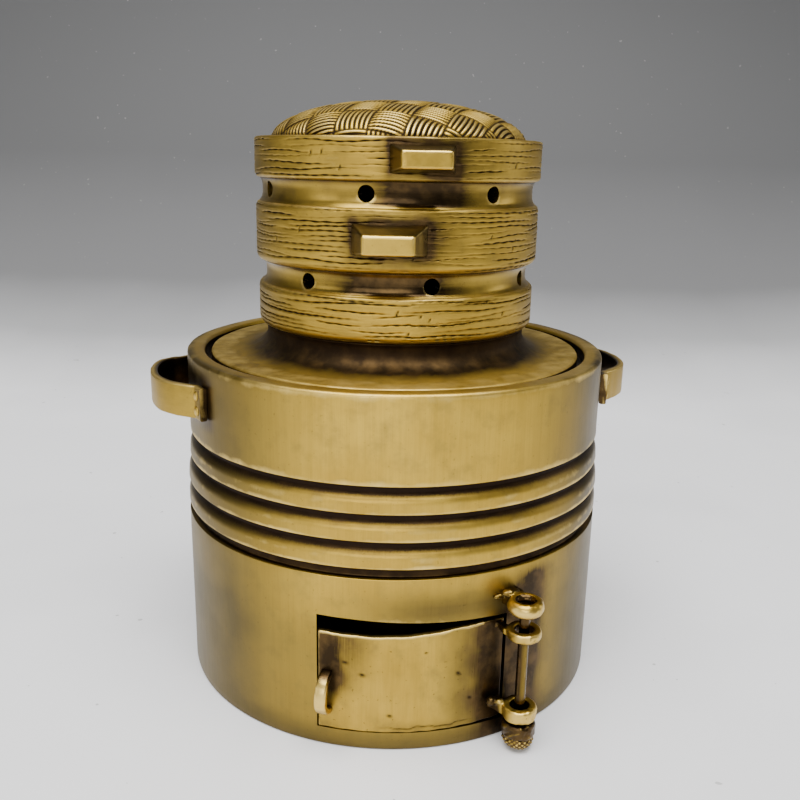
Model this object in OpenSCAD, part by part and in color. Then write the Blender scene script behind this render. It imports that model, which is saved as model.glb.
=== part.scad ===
// Cast brass spirit stove: a round firebox with a hinged fire door and two strap handles,
// under a lift-off cowl shaped as stacked steamer baskets with a woven lid.
// The origin is the centre of the underside, +Z is up and the fire door faces -Y.
// Azimuths are counted from -Y, positive towards +X.

/* [Firebox] */
// Radius of the firebox
body_r = 50; // [49.5:0.1:50.5]
// Height of the firebox to its rim
body_h = 79.5; // [79.3:0.1:80.5]
// Thickness of the firebox wall
wall_t = 4.1; // [3.9:0.1:4.3]
// Depth of the ring grooves
groove_depth = 1.4; // [1:0.1:1.8]
// Height of the sharp edge over the top groove
groove_top_z = 60.4; // [60:0.1:61]
// Distance from one groove to the next
groove_pitch = 5.97; // [5.8:0.01:6.1]
// Thickness of the bottom plate
base_t = 2.5; // [2:0.1:3]

/* [Fire door] */
// Half of the door opening's angle
door_half_angle = 24; // [23.5:0.1:24.2]
// Height of the opening's sill
sill_z = 4.2; // [3.8:0.1:4.4]
// Height of the opening's head at the free side
head_free_z = 31.2; // [30.8:0.1:31.6]
// Height of the opening's head at the hinge side
head_hinge_z = 29.8; // [29.6:0.1:30.2]
// Thickness of the door leaf
leaf_t = 2; // [1.6:0.1:2.2]
// Gap between the leaf and the sides of the opening
leaf_gap = 0.6; // [0.5:0.1:0.8]

/* [Hinge] */
// Azimuth of the hinge pin
hinge_az = 24.5; // [24.4:0.1:25]
// Distance of the hinge pin from the firebox axis
hinge_r = 55.5; // [55.3:0.1:56]
// Radius of the hinge pin
pin_r = 1.15; // [1:0.05:1.3]
// Clearance between the pin and the door knuckles
knuckle_clear = 0.75; // [0.5:0.05:0.8]

/* [Handles] */
// Azimuth of the left handle; the right one is opposite
handle_az = -83.5; // [-86:0.5:-81]
// Height of the strap's lower edge
handle_z = 67.2; // [66:0.1:68]
// Width of the strap
handle_h = 7.4; // [7:0.1:8]
// Thickness of the strap
strap_t = 1.7; // [1.5:0.1:1.9]
// How far the strap stands out from the firebox
handle_reach = 8.6; // [8.2:0.1:9.5]

/* [Cowl] */
// Radius of the cowl's plate
plate_r = 44.4; // [44.2:0.1:44.4]
// Thickness of the cowl's plate
plate_t = 3.2; // [3:0.1:3.4]
// How far the loose cowl sits off centre, sideways and towards the door
cowl_shift = [-0.45, -1.0];
// Radius of the low basket
low_r = 32.5; // [32.2:0.1:32.8]
// Radius of the middle basket
middle_r = 32.9; // [32.6:0.1:33.2]
// Radius of the lid
lid_r = 33; // [32.8:0.1:33.4]
// Radius of the vent holes
vent_r = 1.75; // [1.5:0.05:2]
// Number of vent holes in a row
vent_count = 7; // [5:1:9]

/* [Hidden] */

$fn = 96;
cut = 0.5;            // how far a cutter runs past what it cuts
edge = 0.6;           // small bevel on the turned edges
bore_r = body_r - wall_t;

// Grooves of the firebox
groove_count = 4;
groove_floor = 1.5;   // flat floor under each sharp edge
groove_slope = 1.5;   // soft slope from the floor out to the next ridge
last_groove_h = 2.2;  // the lowest groove has two sharp edges
floor_r = body_r - groove_depth;

// Seat of the cowl's plate inside the rim
plate_drop = 0.3;     // the plate's top lies this far under the rim
plate_z = body_h - plate_drop - plate_t;
ledge_r = 42.4;
ledge_t = 3;

// Fire door
door_half_x = body_r * sin(door_half_angle);
leaf_half_x = door_half_x - leaf_gap;
leaf_z = sill_z + 0.5;
leaf_outline = [[-leaf_half_x, leaf_z + 0.3], [0, leaf_z], [leaf_half_x, leaf_z + 0.5],
    [leaf_half_x, 28.8], [12, 28.6], [6.5, 28], [0, 27.3], [-8, 27], [-leaf_half_x, 27.3]];
pull_az = -21.4;
pull_w = 2.5;
pull_z = 13;
pull_outer_r = 5.8;
pull_inner_r = 4.3;

// Hinge
eye_r = 3.95;
eye_z = 31;
eye_h = 5.5;
eye_pin_h = 2;        // the pin fits in this much of the eye, and the rest is open
eye_hole_r = 2.1;
lug_half_w = 2.2;
knuckle_r = 3.75;
upper_knuckle_z = 25.6;
lower_knuckle_z = 7.4;
knuckle_h = 3.1;
lower_lug_z = 3.3;
lower_lug_h = 3.4;
finial_z = 0.4;
finial_r = 3.5;
pin_z = 1.4;
pin_top_z = 34.3;

// Handles, in a plan with X outwards and Y along the wall
handle_root = 17.2;   // half distance between the strap's roots
handle_nose = 8.5;    // half length of the strap's straight outer side
handle_corner = 6;
foot_az = 23.6;       // end of each foot, from the handle's middle
foot_t = 1.9;
rivet_az = 21.3;
rivet_r = 0.8;
rivet_head_r = 1.2;
rivet_head_t = 0.4;
rivet_rows = [0.27, 0.73];   // heights of the two rivets in a foot, as shares of its height

// Cowl
cowl_bore_r = 27.5;
neck_foot_r = 38.2;
neck_r = 30.7;
neck_z = 83.6;
spigot_h = 2.2;
spigot_r = 29.1;
socket_r = 29.4;
socket_h = 2.5;
rack_ledge_r = 25.5;
rack_ledge_h = 1;
rack_r = 27.2;
rack_t = 1.2;
band_edge = 0.8;
low_z = 85.5;
low_top_z = 95.4;
middle_z = 100.2;
middle_top_z = 113.5;
lid_z = 118.6;
lid_top_z = 127.4;
low_vent_z = 97.6;
middle_vent_z = 116.2;
low_vent_az = 8.1;
middle_vent_az = -17.6;
lip_r = 31.7;         // flared lip over each vented neck

// Lid
dome_seat_z = 126;
dome_seat_r = 29.4;
dome_z = 127;
dome_rise = 9.2;
dome_r = 29;
dome_t = 1.8;
dome_steps = 12;
lid_clip_az = 2.8;
middle_clip_az = -9.2;
clip_face_y = -37.5;
lid_clip_base = [12.9, 120.5, 125.5];      // width, low z, high z
lid_clip_face = [9.8, 121, 124.6];
middle_clip_base = [14.5, 104, 109.9];
middle_clip_face = [9.6, 104.3, 108.2];

// Firebox fittings
grate_z = 52;
grate_t = 2;
grate_r = 45.4;
grate_hole_r = 2.5;
grate_pitch = 12;
grate_rings = 3;
grate_lug_count = 3;
grate_lug_w = 6;
grate_lug_depth = 4;

// Spirit burner
burner_r = 18;
burner_wall = 1;
burner_h = 17;
burner_top_t = 1.5;
burner_neck_r = 6;
burner_neck_hole_r = 4.5;
burner_neck_h = 3.5;
holder_flange_r = 6.5;
holder_flange_t = 1.2;
tube_r = 3.4;
tube_drop = 10;
tube_rise = 3;
wick_r = 2.6;
wick_out = 2.5;
filler_az = 135;
filler_at_r = 12;
filler_r = 2.8;
filler_h = 2.6;
filler_notches = 12;
burner_top_z = base_t + burner_h;
neck_top_z = burner_top_z + burner_top_t + burner_neck_h;
tube_top_z = neck_top_z + holder_flange_t + tube_rise;

brass = "#b39650";
dark_brass = "#7d6133";
pale_brass = "#cdb573";
bronze = "#8a6f4a";
cotton = "#e6dfcc";

// A point at an azimuth and a radius
function polar(a, r) = [r * sin(a), -r * cos(a)];

// The unit vector from one point to another
function toward(from, to) = (to - from) / norm(to - from);

// Points of an arc that rounds the corner b of the path a, b, c
function fillet(a, b, c, r, steps = 6) =
    let (u = toward(b, a), w = toward(b, c), half = acos(u * w) / 2,
        centre = b + toward([0, 0], u + w) * r / sin(half),
        first = b + u * r / tan(half) - centre, last = b + w * r / tan(half) - centre,
        a0 = atan2(first.y, first.x), turn = atan2(last.y, last.x) - a0,
        sweep = turn > 180 ? turn - 360 : turn < -180 ? turn + 360 : turn)
    [for (i = [0:steps]) let (t = a0 + sweep * i / steps) centre + r * [cos(t), sin(t)]];

// Turns what is drawn at -Y to an azimuth
module at_azimuth(a) rotate([0, 0, a]) children();

// Moves a piece with the loose cowl
module on_cowl() translate([cowl_shift.x, cowl_shift.y, 0]) children();

module tube(r_out, r_in, z, h) {
    translate([0, 0, z]) difference() {
        cylinder(r = r_out, h = h);
        translate([0, 0, -cut]) cylinder(r = r_in, h = h + 2 * cut);
    }
}

// A prism through the front wall, from an outline drawn in X and Z
module front_prism(outline) {
    translate([0, -30, 0]) rotate([90, 0, 0]) linear_extrude(30) polygon(outline);
}

// ---- Firebox ----

function groove(i) = let (top = groove_top_z - i * groove_pitch, last = i == groove_count - 1)
    last ? [[body_r, top - last_groove_h], [floor_r, top - last_groove_h + 0.1], [floor_r, top], [body_r, top]]
    : [[body_r, top - groove_floor - groove_slope], [floor_r, top - groove_floor], [floor_r, top], [body_r, top]];

module body_shell() {
    grooves = [for (i = [groove_count - 1:-1:0]) each groove(i)];
    profile = concat([[bore_r, 0], [body_r - edge, 0], [body_r, edge]], grooves,
        [[body_r, body_h - edge], [body_r - edge, body_h], [bore_r + edge, body_h], [bore_r, body_h - edge],
        [bore_r, plate_z], [ledge_r, plate_z], [ledge_r, plate_z - ledge_t],
        [bore_r, plate_z - ledge_t - (bore_r - ledge_r)]]);
    color(brass) difference() {
        rotate_extrude() polygon(profile);
        front_prism([[-door_half_x, sill_z], [door_half_x, sill_z], [door_half_x, head_hinge_z],
            [-door_half_x, head_free_z]]);
        for (a = [handle_az, handle_az + 180]) at_azimuth(a) rivet_holes();
    }
}

module base_plate() {
    color(dark_brass) cylinder(r = bore_r, h = base_t);
}

// ---- Handles ----

module rivet_row() {
    for (side = [-1, 1], z = rivet_rows) {
        translate([0, 0, handle_z + z * handle_h]) at_azimuth(side * rivet_az) rotate([90, 0, 0]) children();
    }
}

module rivet_holes() {
    rivet_row() translate([0, 0, bore_r - 2]) cylinder(r = rivet_r, h = wall_t + foot_t + 2 + cut);
}

// Outline of the strap, inset from its outer face
function strap_side(inset) =
    let (root = [body_r - 1.6, handle_root], nose = [body_r + handle_reach, handle_nose],
        leg = toward(root, nose), slope = [leg.y, -leg.x],
        // the inset corner lies on the line that halves the corner
        lean = atan2(-leg.y, leg.x), near = nose + inset * [-1, -tan((90 - lean) / 2)],
        foot = root + inset * slope, r = handle_corner - inset)
    concat([foot], fillet(foot, near, [near.x, -near.y], r), fillet([near.x, near.y], [near.x, -near.y],
        [foot.x, -foot.y], r), [[foot.x, -foot.y]]);

module handle() {
    inner = strap_side(strap_t);
    ring = concat(strap_side(0), [for (i = [len(inner) - 1:-1:0]) inner[i]]);
    difference() {
        union() {
            translate([0, 0, handle_z]) rotate([0, 0, -90]) linear_extrude(handle_h) polygon(ring);
            for (side = [-1, 1]) foot(side);
        }
        cylinder(r = body_r, h = body_h);
        rivet_holes();
    }
}

// The flat end of the strap that lies on the wall
module foot(side) {
    inner_az = 18;
    wedge = [[0, 0], polar(side * inner_az, 2 * body_r), polar(side * foot_az, 2 * body_r)];
    translate([0, 0, handle_z]) intersection() {
        cylinder(r = body_r + foot_t, h = handle_h);
        linear_extrude(handle_h) polygon(wedge);
    }
}

module left_handle() color(brass) at_azimuth(handle_az) handle();

module right_handle() color(brass) at_azimuth(handle_az + 180) handle();

module rivets() {
    rivet_row() {
        translate([0, 0, bore_r]) cylinder(r = rivet_r, h = body_r + foot_t - bore_r);
        translate([0, 0, body_r + foot_t]) cylinder(r1 = rivet_head_r, r2 = rivet_r, h = rivet_head_t);
    }
}

module left_handle_rivets() color(pale_brass) at_azimuth(handle_az) trimmed_rivets();

module right_handle_rivets() color(pale_brass) at_azimuth(handle_az + 180) trimmed_rivets();

// The rivets end flush with the bore of the firebox
module trimmed_rivets() {
    difference() {
        rivets();
        cylinder(r = bore_r, h = body_h);
    }
}

// ---- Hinge on the firebox ----

module at_pin(z) at_azimuth(hinge_az) translate([0, -hinge_r, z]) children();

// A block that ties a ring on the pin's axis to the wall
module lug_block(x0, x1, z, h) {
    at_azimuth(hinge_az) translate([x0, -hinge_r, z]) cube([x1 - x0, hinge_r - body_r + 1, h]);
}

module upper_hinge_eye() {
    bead = [[0, 0], [eye_r - 1.4, 0], [eye_r - 0.4, 0.7], [eye_r, 1.8], [eye_r, eye_h - 1.8],
        [eye_r - 0.4, eye_h - 0.7], [eye_r - 1.2, eye_h], [0, eye_h]];
    color(pale_brass) difference() {
        union() {
            at_pin(eye_z) rotate_extrude() polygon(bead);
            lug_block(-lug_half_w, lug_half_w, eye_z + 0.8, eye_h - 1.6);
        }
        cylinder(r = body_r, h = body_h);
        at_pin(eye_z - cut) cylinder(r = pin_r, h = eye_h);
        at_pin(eye_z + eye_pin_h) cylinder(r = eye_hole_r, h = eye_h);
    }
}

module lower_hinge_lug() {
    color(dark_brass) difference() {
        union() {
            at_pin(lower_lug_z) cylinder(r = knuckle_r, h = lower_lug_h);
            lug_block(-0.3, lug_half_w + 1, lower_lug_z, lower_lug_h);
        }
        cylinder(r = body_r, h = body_h);
        at_pin(lower_lug_z - cut) cylinder(r = pin_r, h = lower_lug_h + 2 * cut);
    }
}

module hinge_pin() {
    color(bronze) at_pin(pin_z) cylinder(r = pin_r, h = pin_top_z - pin_z);
}

module hinge_finial() {
    h = lower_lug_z - finial_z;
    outline = [[0, 0], [1.3, 0], [2.4, 0.5], [finial_r - 0.3, 1.4], [finial_r, 2.2], [finial_r - 0.3, h], [0, h]];
    color(dark_brass) difference() {
        at_pin(finial_z) rotate_extrude() polygon(outline);
        at_pin(pin_z) cylinder(r = pin_r, h = h);
    }
}

// ---- Fire door ----

module door_leaf() {
    color(brass) intersection() {
        tube(body_r, body_r - leaf_t, 0, head_free_z);
        front_prism(leaf_outline);
    }
}

// A ring round the pin with an arm that lies on the leaf
module knuckle(z) {
    arm = [[-1.7, 0.6 - body_r], [-1.7, -hinge_r + 2], [-2, -hinge_r - 2], [-4.2, -hinge_r - 1],
        [-9.6, -body_r - 0.3], [-9.6, 1 - body_r]];
    difference() {
        union() {
            at_pin(z) cylinder(r = knuckle_r, h = knuckle_h);
            at_azimuth(hinge_az) translate([0, 0, z]) linear_extrude(knuckle_h) polygon(arm);
        }
        cylinder(r = body_r, h = body_h);
        at_pin(z - cut) cylinder(r = pin_r + knuckle_clear, h = knuckle_h + 2 * cut);
    }
}

module upper_knuckle() color(brass) knuckle(upper_knuckle_z);

module lower_knuckle() color(brass) knuckle(lower_knuckle_z);

module door_pull() {
    color(pale_brass) difference() {
        at_azimuth(pull_az) translate([-pull_w / 2, -body_r + 0.4, pull_z]) rotate([0, 90, 0]) difference() {
            cylinder(r = pull_outer_r, h = pull_w);
            translate([0, 0, -cut]) cylinder(r = pull_inner_r, h = pull_w + 2 * cut);
        }
        cylinder(r = body_r, h = body_h);
    }
}

// ---- Cowl ----

module top_plate() {
    neck = [for (t = [0:15:90]) [neck_foot_r - (neck_foot_r - neck_r) * sin(t),
        plate_z + plate_t + (neck_z - plate_z - plate_t) * (1 - cos(t))]];
    profile = concat([[cowl_bore_r, plate_z], [plate_r, plate_z], [plate_r, plate_z + plate_t - 0.3],
        [plate_r - 0.3, plate_z + plate_t]], neck,
        [[lip_r - 0.3, low_z], [spigot_r, low_z], [spigot_r, low_z + spigot_h], [cowl_bore_r, low_z + spigot_h]]);
    on_cowl() color(brass) rotate_extrude() polygon(profile);
}

// Inner outline of a basket or the lid, from the top of its bore down to its socket
function socket_points(z, top) = [[cowl_bore_r, top], [cowl_bore_r, z + socket_h + rack_ledge_h],
    [rack_ledge_r, z + socket_h + rack_ledge_h], [rack_ledge_r, z + socket_h], [socket_r, z + socket_h],
    [socket_r, z]];

// A basket: a wide band, a narrow vented neck over it, and a spigot for the next one
module basket(r, z, band_top, waist_r, vent_z, next_z, vent_az) {
    drill_r = 20;     // the drills start inside the bore, clear of each other
    waist_half_h = vent_r + 0.05;
    profile = concat([[r - band_edge, z], [r, z + band_edge], [r, band_top - band_edge],
        [r - band_edge, band_top], [waist_r, vent_z - waist_half_h], [waist_r, vent_z + waist_half_h],
        [lip_r, next_z], [spigot_r, next_z], [spigot_r, next_z + spigot_h]],
        socket_points(z, next_z + spigot_h));
    on_cowl() difference() {
        rotate_extrude() polygon(profile);
        for (i = [0:vent_count - 1]) {
            at_azimuth(vent_az + i * 360 / vent_count) translate([0, -drill_r, vent_z]) rotate([90, 0, 0])
                cylinder(r = vent_r, h = drill_r);
        }
    }
}

module low_basket() color(brass) basket(low_r, low_z, low_top_z, neck_r, low_vent_z, middle_z, low_vent_az);

module middle_basket() {
    color(brass) basket(middle_r, middle_z, middle_top_z, neck_r + 0.6, middle_vent_z, lid_z, middle_vent_az);
}

// A perforated floor that lies on a basket's inner ledge
module rack(z) {
    hole_r = 2;
    pitch = 7.5;
    on_cowl() difference() {
        translate([0, 0, z]) cylinder(r = rack_r, h = rack_t);
        for (ring = [0:3], i = [0:max(1, 6 * ring) - 1]) {
            at_azimuth(i * 60 / max(1, ring)) translate([0, -ring * pitch, z - cut])
                cylinder(r = hole_r, h = rack_t + 2 * cut);
        }
    }
}

module low_rack() color(dark_brass) rack(low_z + socket_h + rack_ledge_h);

module middle_rack() color(dark_brass) rack(middle_z + socket_h + rack_ledge_h);

// A truncated pyramid on a band of radius r; base and face are [width, low z, high z]
module clip(r, base, face) {
    back_y = 1 - r;
    face_y = clip_face_y;
    plan = [[-base[0] / 2, back_y], [-face[0] / 2, face_y], [face[0] / 2, face_y], [base[0] / 2, back_y]];
    side = [[back_y, base[1]], [face_y, face[1]], [face_y, face[2]], [back_y, base[2]]];
    difference() {
        intersection() {
            linear_extrude(lid_top_z) polygon(plan);
            translate([-base[0], 0, 0]) rotate([90, 0, 90]) linear_extrude(2 * base[0]) polygon(side);
        }
        cylinder(r = r, h = lid_top_z);
    }
}

module middle_clip() {
    on_cowl() color(pale_brass) at_azimuth(middle_clip_az) clip(middle_r, middle_clip_base, middle_clip_face);
}

module lid_clip() {
    on_cowl() color(pale_brass) at_azimuth(lid_clip_az) clip(lid_r, lid_clip_base, lid_clip_face);
}

module lid_band() {
    profile = [[lid_r - band_edge, lid_z], [lid_r, lid_z + band_edge], [lid_r, lid_top_z - band_edge],
        [lid_r - band_edge, lid_top_z], [dome_seat_r, lid_top_z], [dome_seat_r, dome_seat_z],
        [cowl_bore_r, dome_seat_z], [cowl_bore_r, lid_z + socket_h], [socket_r, lid_z + socket_h], [socket_r, lid_z]];
    on_cowl() color(brass) rotate_extrude() polygon(profile);
}

// Height of the dome over its edge at radius r, for a dome of radius edge_r
function dome_height(r, edge_r, rise) = rise * pow(max(0, 1 - pow(r / edge_r, 2.3)), 0.556);

module woven_dome() {
    steps = [for (i = [0:dome_steps]) i / dome_steps];
    // closer steps near the steep edge
    outside = [for (s = steps) let (r = dome_r * sin(90 * s)) [r, dome_z + dome_height(r, dome_r, dome_rise)]];
    inner_r = dome_r - dome_t;
    inside = [for (s = steps) let (r = inner_r * cos(90 * s))
        [max(0, r), dome_z + dome_height(r, inner_r, dome_rise - dome_t)]];
    profile = concat(outside, [[dome_seat_r, dome_z], [dome_seat_r, dome_seat_z], [inner_r, dome_seat_z]], inside);
    on_cowl() color(brass) rotate_extrude() polygon(profile);
}

// ---- Fittings inside the firebox ----

module grate() {
    color(dark_brass) difference() {
        translate([0, 0, grate_z]) cylinder(r = grate_r, h = grate_t);
        for (ring = [0:grate_rings], i = [0:max(1, 6 * ring) - 1]) {
            at_azimuth(i * 60 / max(1, ring)) translate([0, -ring * grate_pitch, grate_z - cut])
                cylinder(r = grate_hole_r, h = grate_t + 2 * cut);
        }
    }
}

module grate_lugs() {
    lug_h = 3;
    color(dark_brass) intersection() {
        cylinder(r = bore_r, h = body_h);
        for (i = [0:grate_lug_count - 1]) {
            at_azimuth(60 + i * 360 / grate_lug_count)
                translate([-grate_lug_w / 2, -body_r, grate_z - lug_h])
                cube([grate_lug_w, wall_t + grate_lug_depth, lug_h]);
        }
    }
}

module fuel_reservoir() {
    profile = [[0, base_t], [burner_r, base_t], [burner_r, burner_top_z], [burner_r - burner_wall, burner_top_z],
        [burner_r - burner_wall, base_t + burner_wall], [0, base_t + burner_wall]];
    color(brass) rotate_extrude() polygon(profile);
}

module burner_top() {
    top = burner_top_z + burner_top_t;
    profile = [[burner_neck_hole_r, burner_top_z], [burner_r + 0.4, burner_top_z], [burner_r + 0.4, top - 0.5],
        [burner_r - 0.2, top], [burner_neck_r, top], [burner_neck_r, neck_top_z], [burner_neck_hole_r, neck_top_z]];
    color(pale_brass) rotate_extrude() polygon(profile);
}

module wick_holder() {
    color(brass) difference() {
        union() {
            translate([0, 0, neck_top_z]) cylinder(r = holder_flange_r, h = holder_flange_t);
            translate([0, 0, neck_top_z - tube_drop]) cylinder(r = tube_r, h = tube_top_z - neck_top_z + tube_drop);
        }
        cylinder(r = wick_r, h = body_h);
    }
}

module wick() {
    wick_z = base_t + burner_wall;
    color(cotton) translate([0, 0, wick_z]) {
        cylinder(r = wick_r, h = tube_top_z - wick_z);
        translate([0, 0, tube_top_z - wick_z]) cylinder(r1 = wick_r, r2 = wick_r - 0.8, h = wick_out);
    }
}

module filler_cap() {
    color(pale_brass) at_azimuth(filler_az) translate([0, -filler_at_r, burner_top_z + burner_top_t])
    difference() {
        cylinder(r = filler_r, h = filler_h);
        for (i = [0:filler_notches - 1]) {
            rotate([0, 0, i * 360 / filler_notches]) translate([filler_r, 0, -cut])
                cylinder(r = 0.25, h = filler_h + 2 * cut);
        }
    }
}

body_shell();
base_plate();
left_handle();
right_handle();
left_handle_rivets();
right_handle_rivets();
upper_hinge_eye();
lower_hinge_lug();
hinge_pin();
hinge_finial();
grate();
grate_lugs();
fuel_reservoir();
burner_top();
wick_holder();
wick();
filler_cap();
door_leaf();
upper_knuckle();
lower_knuckle();
door_pull();
top_plate();
low_basket();
low_rack();
middle_basket();
middle_rack();
middle_clip();
lid_band();
woven_dome();
lid_clip();
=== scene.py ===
"""Antique brass spirit stove with a hinged fire door and a cowl of stacked steamer baskets.

Run as a script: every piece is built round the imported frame, in metres, by its own operator.
"""

import math

import bmesh
import bpy
import numpy as np
from bpy.props import FloatProperty, FloatVectorProperty, IntProperty, PointerProperty
from mathutils import Matrix, Vector


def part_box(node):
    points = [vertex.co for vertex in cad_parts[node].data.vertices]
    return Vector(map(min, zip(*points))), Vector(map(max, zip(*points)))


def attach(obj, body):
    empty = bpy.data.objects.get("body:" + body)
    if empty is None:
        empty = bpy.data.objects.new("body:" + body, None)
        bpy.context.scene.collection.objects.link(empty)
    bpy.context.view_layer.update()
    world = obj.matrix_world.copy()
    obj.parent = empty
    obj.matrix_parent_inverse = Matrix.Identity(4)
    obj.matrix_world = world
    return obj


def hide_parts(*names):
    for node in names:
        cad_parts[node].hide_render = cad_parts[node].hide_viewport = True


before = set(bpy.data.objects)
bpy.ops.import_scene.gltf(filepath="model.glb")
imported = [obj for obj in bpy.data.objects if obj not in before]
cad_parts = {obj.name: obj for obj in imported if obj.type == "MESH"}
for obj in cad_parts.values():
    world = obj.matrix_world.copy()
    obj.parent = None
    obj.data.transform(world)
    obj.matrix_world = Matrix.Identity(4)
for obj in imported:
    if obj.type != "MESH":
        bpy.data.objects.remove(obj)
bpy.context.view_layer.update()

bl_info = {
    "name": "Antique Brass Spirit Stove",
    "version": (1, 0, 0),
    "blender": (4, 5, 0),
    "location": "View3D > Sidebar > Stove",
    "description": "Builds a cast brass spirit stove with a fire door and stacked baskets",
    "category": "Add Mesh",
}

MM = 0.001

# Sizes are in millimetres, with heights from the ground. An azimuth is in degrees, from the
# door's side of the axis towards +X.
BODY_R = 50.0
BODY_H = 79.5
BORE_R = 45.9
BROADEN = 0.019                 # how much wider the lower firebox is from side to side
GROOVE_TOPS = (60.4, 54.43, 48.46, 42.49)
OPENING_HALF = 20.34            # half the width of the door opening
OPENING_LOW = 4.2
OPENING_LEFT = 31.2             # height of the opening at its left end
OPENING_FALL = 0.0345           # how steeply its top falls towards the hinge
COWL = (-0.2, -1.0)             # how far the loose cowl sits off centre
HINGE_AZ = 24.5
HINGE_R = 55.5                  # distance of the pin from the axis
HANDLE_AZ = (-83.5, 96.5)
RIVET_R = 51.75                 # distance of the rivets' heads from the axis
PULL_AZ = -21.4
PULL_R = 4.4                    # radius of the pull's middle line
PULL_OUT = 49.6                 # distance of the pull's centre from the axis
PULL_Z = 13.3                   # height of the pull's centre
PLATE_TOP = 79.2
BAND_R = 33.0                   # radius of the lid's band
VENT_ROW_R = 30                 # distance of the vents' middles from the cowl's axis
CLIP_OUT = 37.5                 # distance of the clips' faces from the cowl's axis
CLIP_BACK = 32.0                # distance of the clips' buried ends from it

# A clip's base and its face are each given as width, low and high.
LID_CLIP = dict(az=2.8, base=(13.6, 120.2, 126.0), face=(10.0, 121.25, 124.65))
MIDDLE_CLIP = dict(az=-8.6, base=(15.8, 103.9, 110.5), face=(10.2, 104.5, 108.3))

FIREBOX_AROUND = 384            # points round the firebox
COWL_AROUND = 360               # points round the plate and the necks
BAND_AROUND = 720               # points round the carved bands
SHARP = 38                      # angle past which an edge is shaded sharp
FILLET_STEPS = 4
MELT_VOXEL = 0.2                # how finely the hinge's castings are melted together


# ---- Numbers and noise ----

def smooth(low, high, value):
    """0 below low, 1 above high, and a soft step between."""
    t = np.clip((np.asarray(value, float) - low) / (high - low), 0, 1)
    return t * t * (3 - 2 * t)


def bump_at(value, centre, width):
    """A bell of height 1 round a centre."""
    return np.exp(-((np.asarray(value, float) - centre) / width) ** 2)


def lattice(u, v, wrap, seed):
    """Smooth noise in -1..1 on unit cells; u closes on itself after wrap cells."""
    rows = 97
    table = np.random.default_rng(seed).uniform(-1, 1, (rows, wrap))
    i = np.floor(u).astype(int)
    j = np.floor(v).astype(int)
    fu = u - i
    fv = v - j
    fu = fu * fu * (3 - 2 * fu)
    fv = fv * fv * (3 - 2 * fv)
    a = table[j % rows, i % wrap]
    b = table[j % rows, (i + 1) % wrap]
    c = table[(j + 1) % rows, i % wrap]
    d = table[(j + 1) % rows, (i + 1) % wrap]
    return (a * (1 - fu) + b * fu) * (1 - fv) + (c * (1 - fu) + d * fu) * fv


def ring_noise(azimuth, height, cells, step, seed):
    """Noise round a turned piece: cells round the ring, step millimetres up the axis."""
    u = np.mod(azimuth / 360, 1) * cells
    total = lattice(u, height / step, cells, seed)
    total = total + 0.5 * lattice(2 * u, 2 * height / step, 2 * cells, seed + 1)
    return (total + 0.25 * lattice(4 * u, 4 * height / step, 4 * cells, seed + 2)) / 1.5


def turned(azimuth):
    """Azimuth brought to -180..180."""
    return (azimuth + 180) % 360 - 180


def cylinder_coords(points, centre=(0, 0)):
    """Azimuth in degrees from the door towards +X, radius and height, in millimetres."""
    x = points[:, 0] - centre[0]
    y = points[:, 1] - centre[1]
    return np.degrees(np.arctan2(x, -y)), np.hypot(x, y), points[:, 2]


def to_points(azimuth, radius, height, centre=(0, 0)):
    """Points in millimetres from azimuth, radius and height."""
    a = np.radians(azimuth)
    x = radius * np.sin(a) + centre[0]
    y = -radius * np.cos(a) + centre[1]
    return np.stack([x, y, height + 0 * x], axis=-1).reshape(-1, 3)


# ---- Meshes ----

def mesh_points(obj):
    """A piece's points in millimetres."""
    flat = np.empty(len(obj.data.vertices) * 3)
    obj.data.vertices.foreach_get("co", flat)
    return flat.reshape(-1, 3) / MM


def paint(obj, patina, edge, shade=0, crack=0):
    """Writes the four layers that the finishes read, one value per point."""
    for name, values in dict(patina=patina, edge=edge, shade=shade, crack=crack).items():
        values = np.broadcast_to(np.clip(values, 0, 1), len(obj.data.vertices))
        layer = obj.data.attributes.new(name, "FLOAT", "POINT")
        layer.data.foreach_set("value", values.astype(np.float32))


def tidy_mesh(mesh, weld=False):
    """Turns the faces outwards and shades them smooth up to an angle."""
    work = bmesh.new()
    work.from_mesh(mesh)
    if weld:
        bmesh.ops.remove_doubles(work, verts=work.verts, dist=2e-6)
        bmesh.ops.dissolve_degenerate(work, edges=work.edges, dist=1e-7)
    bmesh.ops.recalc_face_normals(work, faces=work.faces)
    work.to_mesh(mesh)
    work.free()
    mesh.polygons.foreach_set("use_smooth", [True] * len(mesh.polygons))
    mesh.set_sharp_from_angle(angle=math.radians(SHARP))
    mesh.update()


def move_points(obj, points):
    """Puts a piece's points at their new places, in millimetres."""
    obj.data.vertices.foreach_set("co", (points * MM).ravel())
    obj.data.update()


def new_piece(name, points, faces, material, weld=False):
    """A piece from points in millimetres and faces."""
    mesh = bpy.data.meshes.new(name)
    faces = faces.tolist() if isinstance(faces, np.ndarray) else faces
    mesh.from_pydata((np.asarray(points, float) * MM).tolist(), [], faces)
    tidy_mesh(mesh, weld)
    mesh.materials.append(material)
    obj = bpy.data.objects.new(name, mesh)
    bpy.context.scene.collection.objects.link(obj)
    return obj


def apply_modifiers(obj):
    """Turns a piece with its modifiers into a plain mesh."""
    graph = bpy.context.evaluated_depsgraph_get()
    mesh = bpy.data.meshes.new_from_object(obj.evaluated_get(graph))
    obj.modifiers.clear()
    obj.data = mesh
    mesh.name = obj.name
    tidy_mesh(mesh)


def settle(obj, body, slot, *nodes):
    """Gives a finished piece its body and hides the nodes it stands for; slot is not used."""
    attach(obj, body)
    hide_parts(*nodes)


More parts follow.
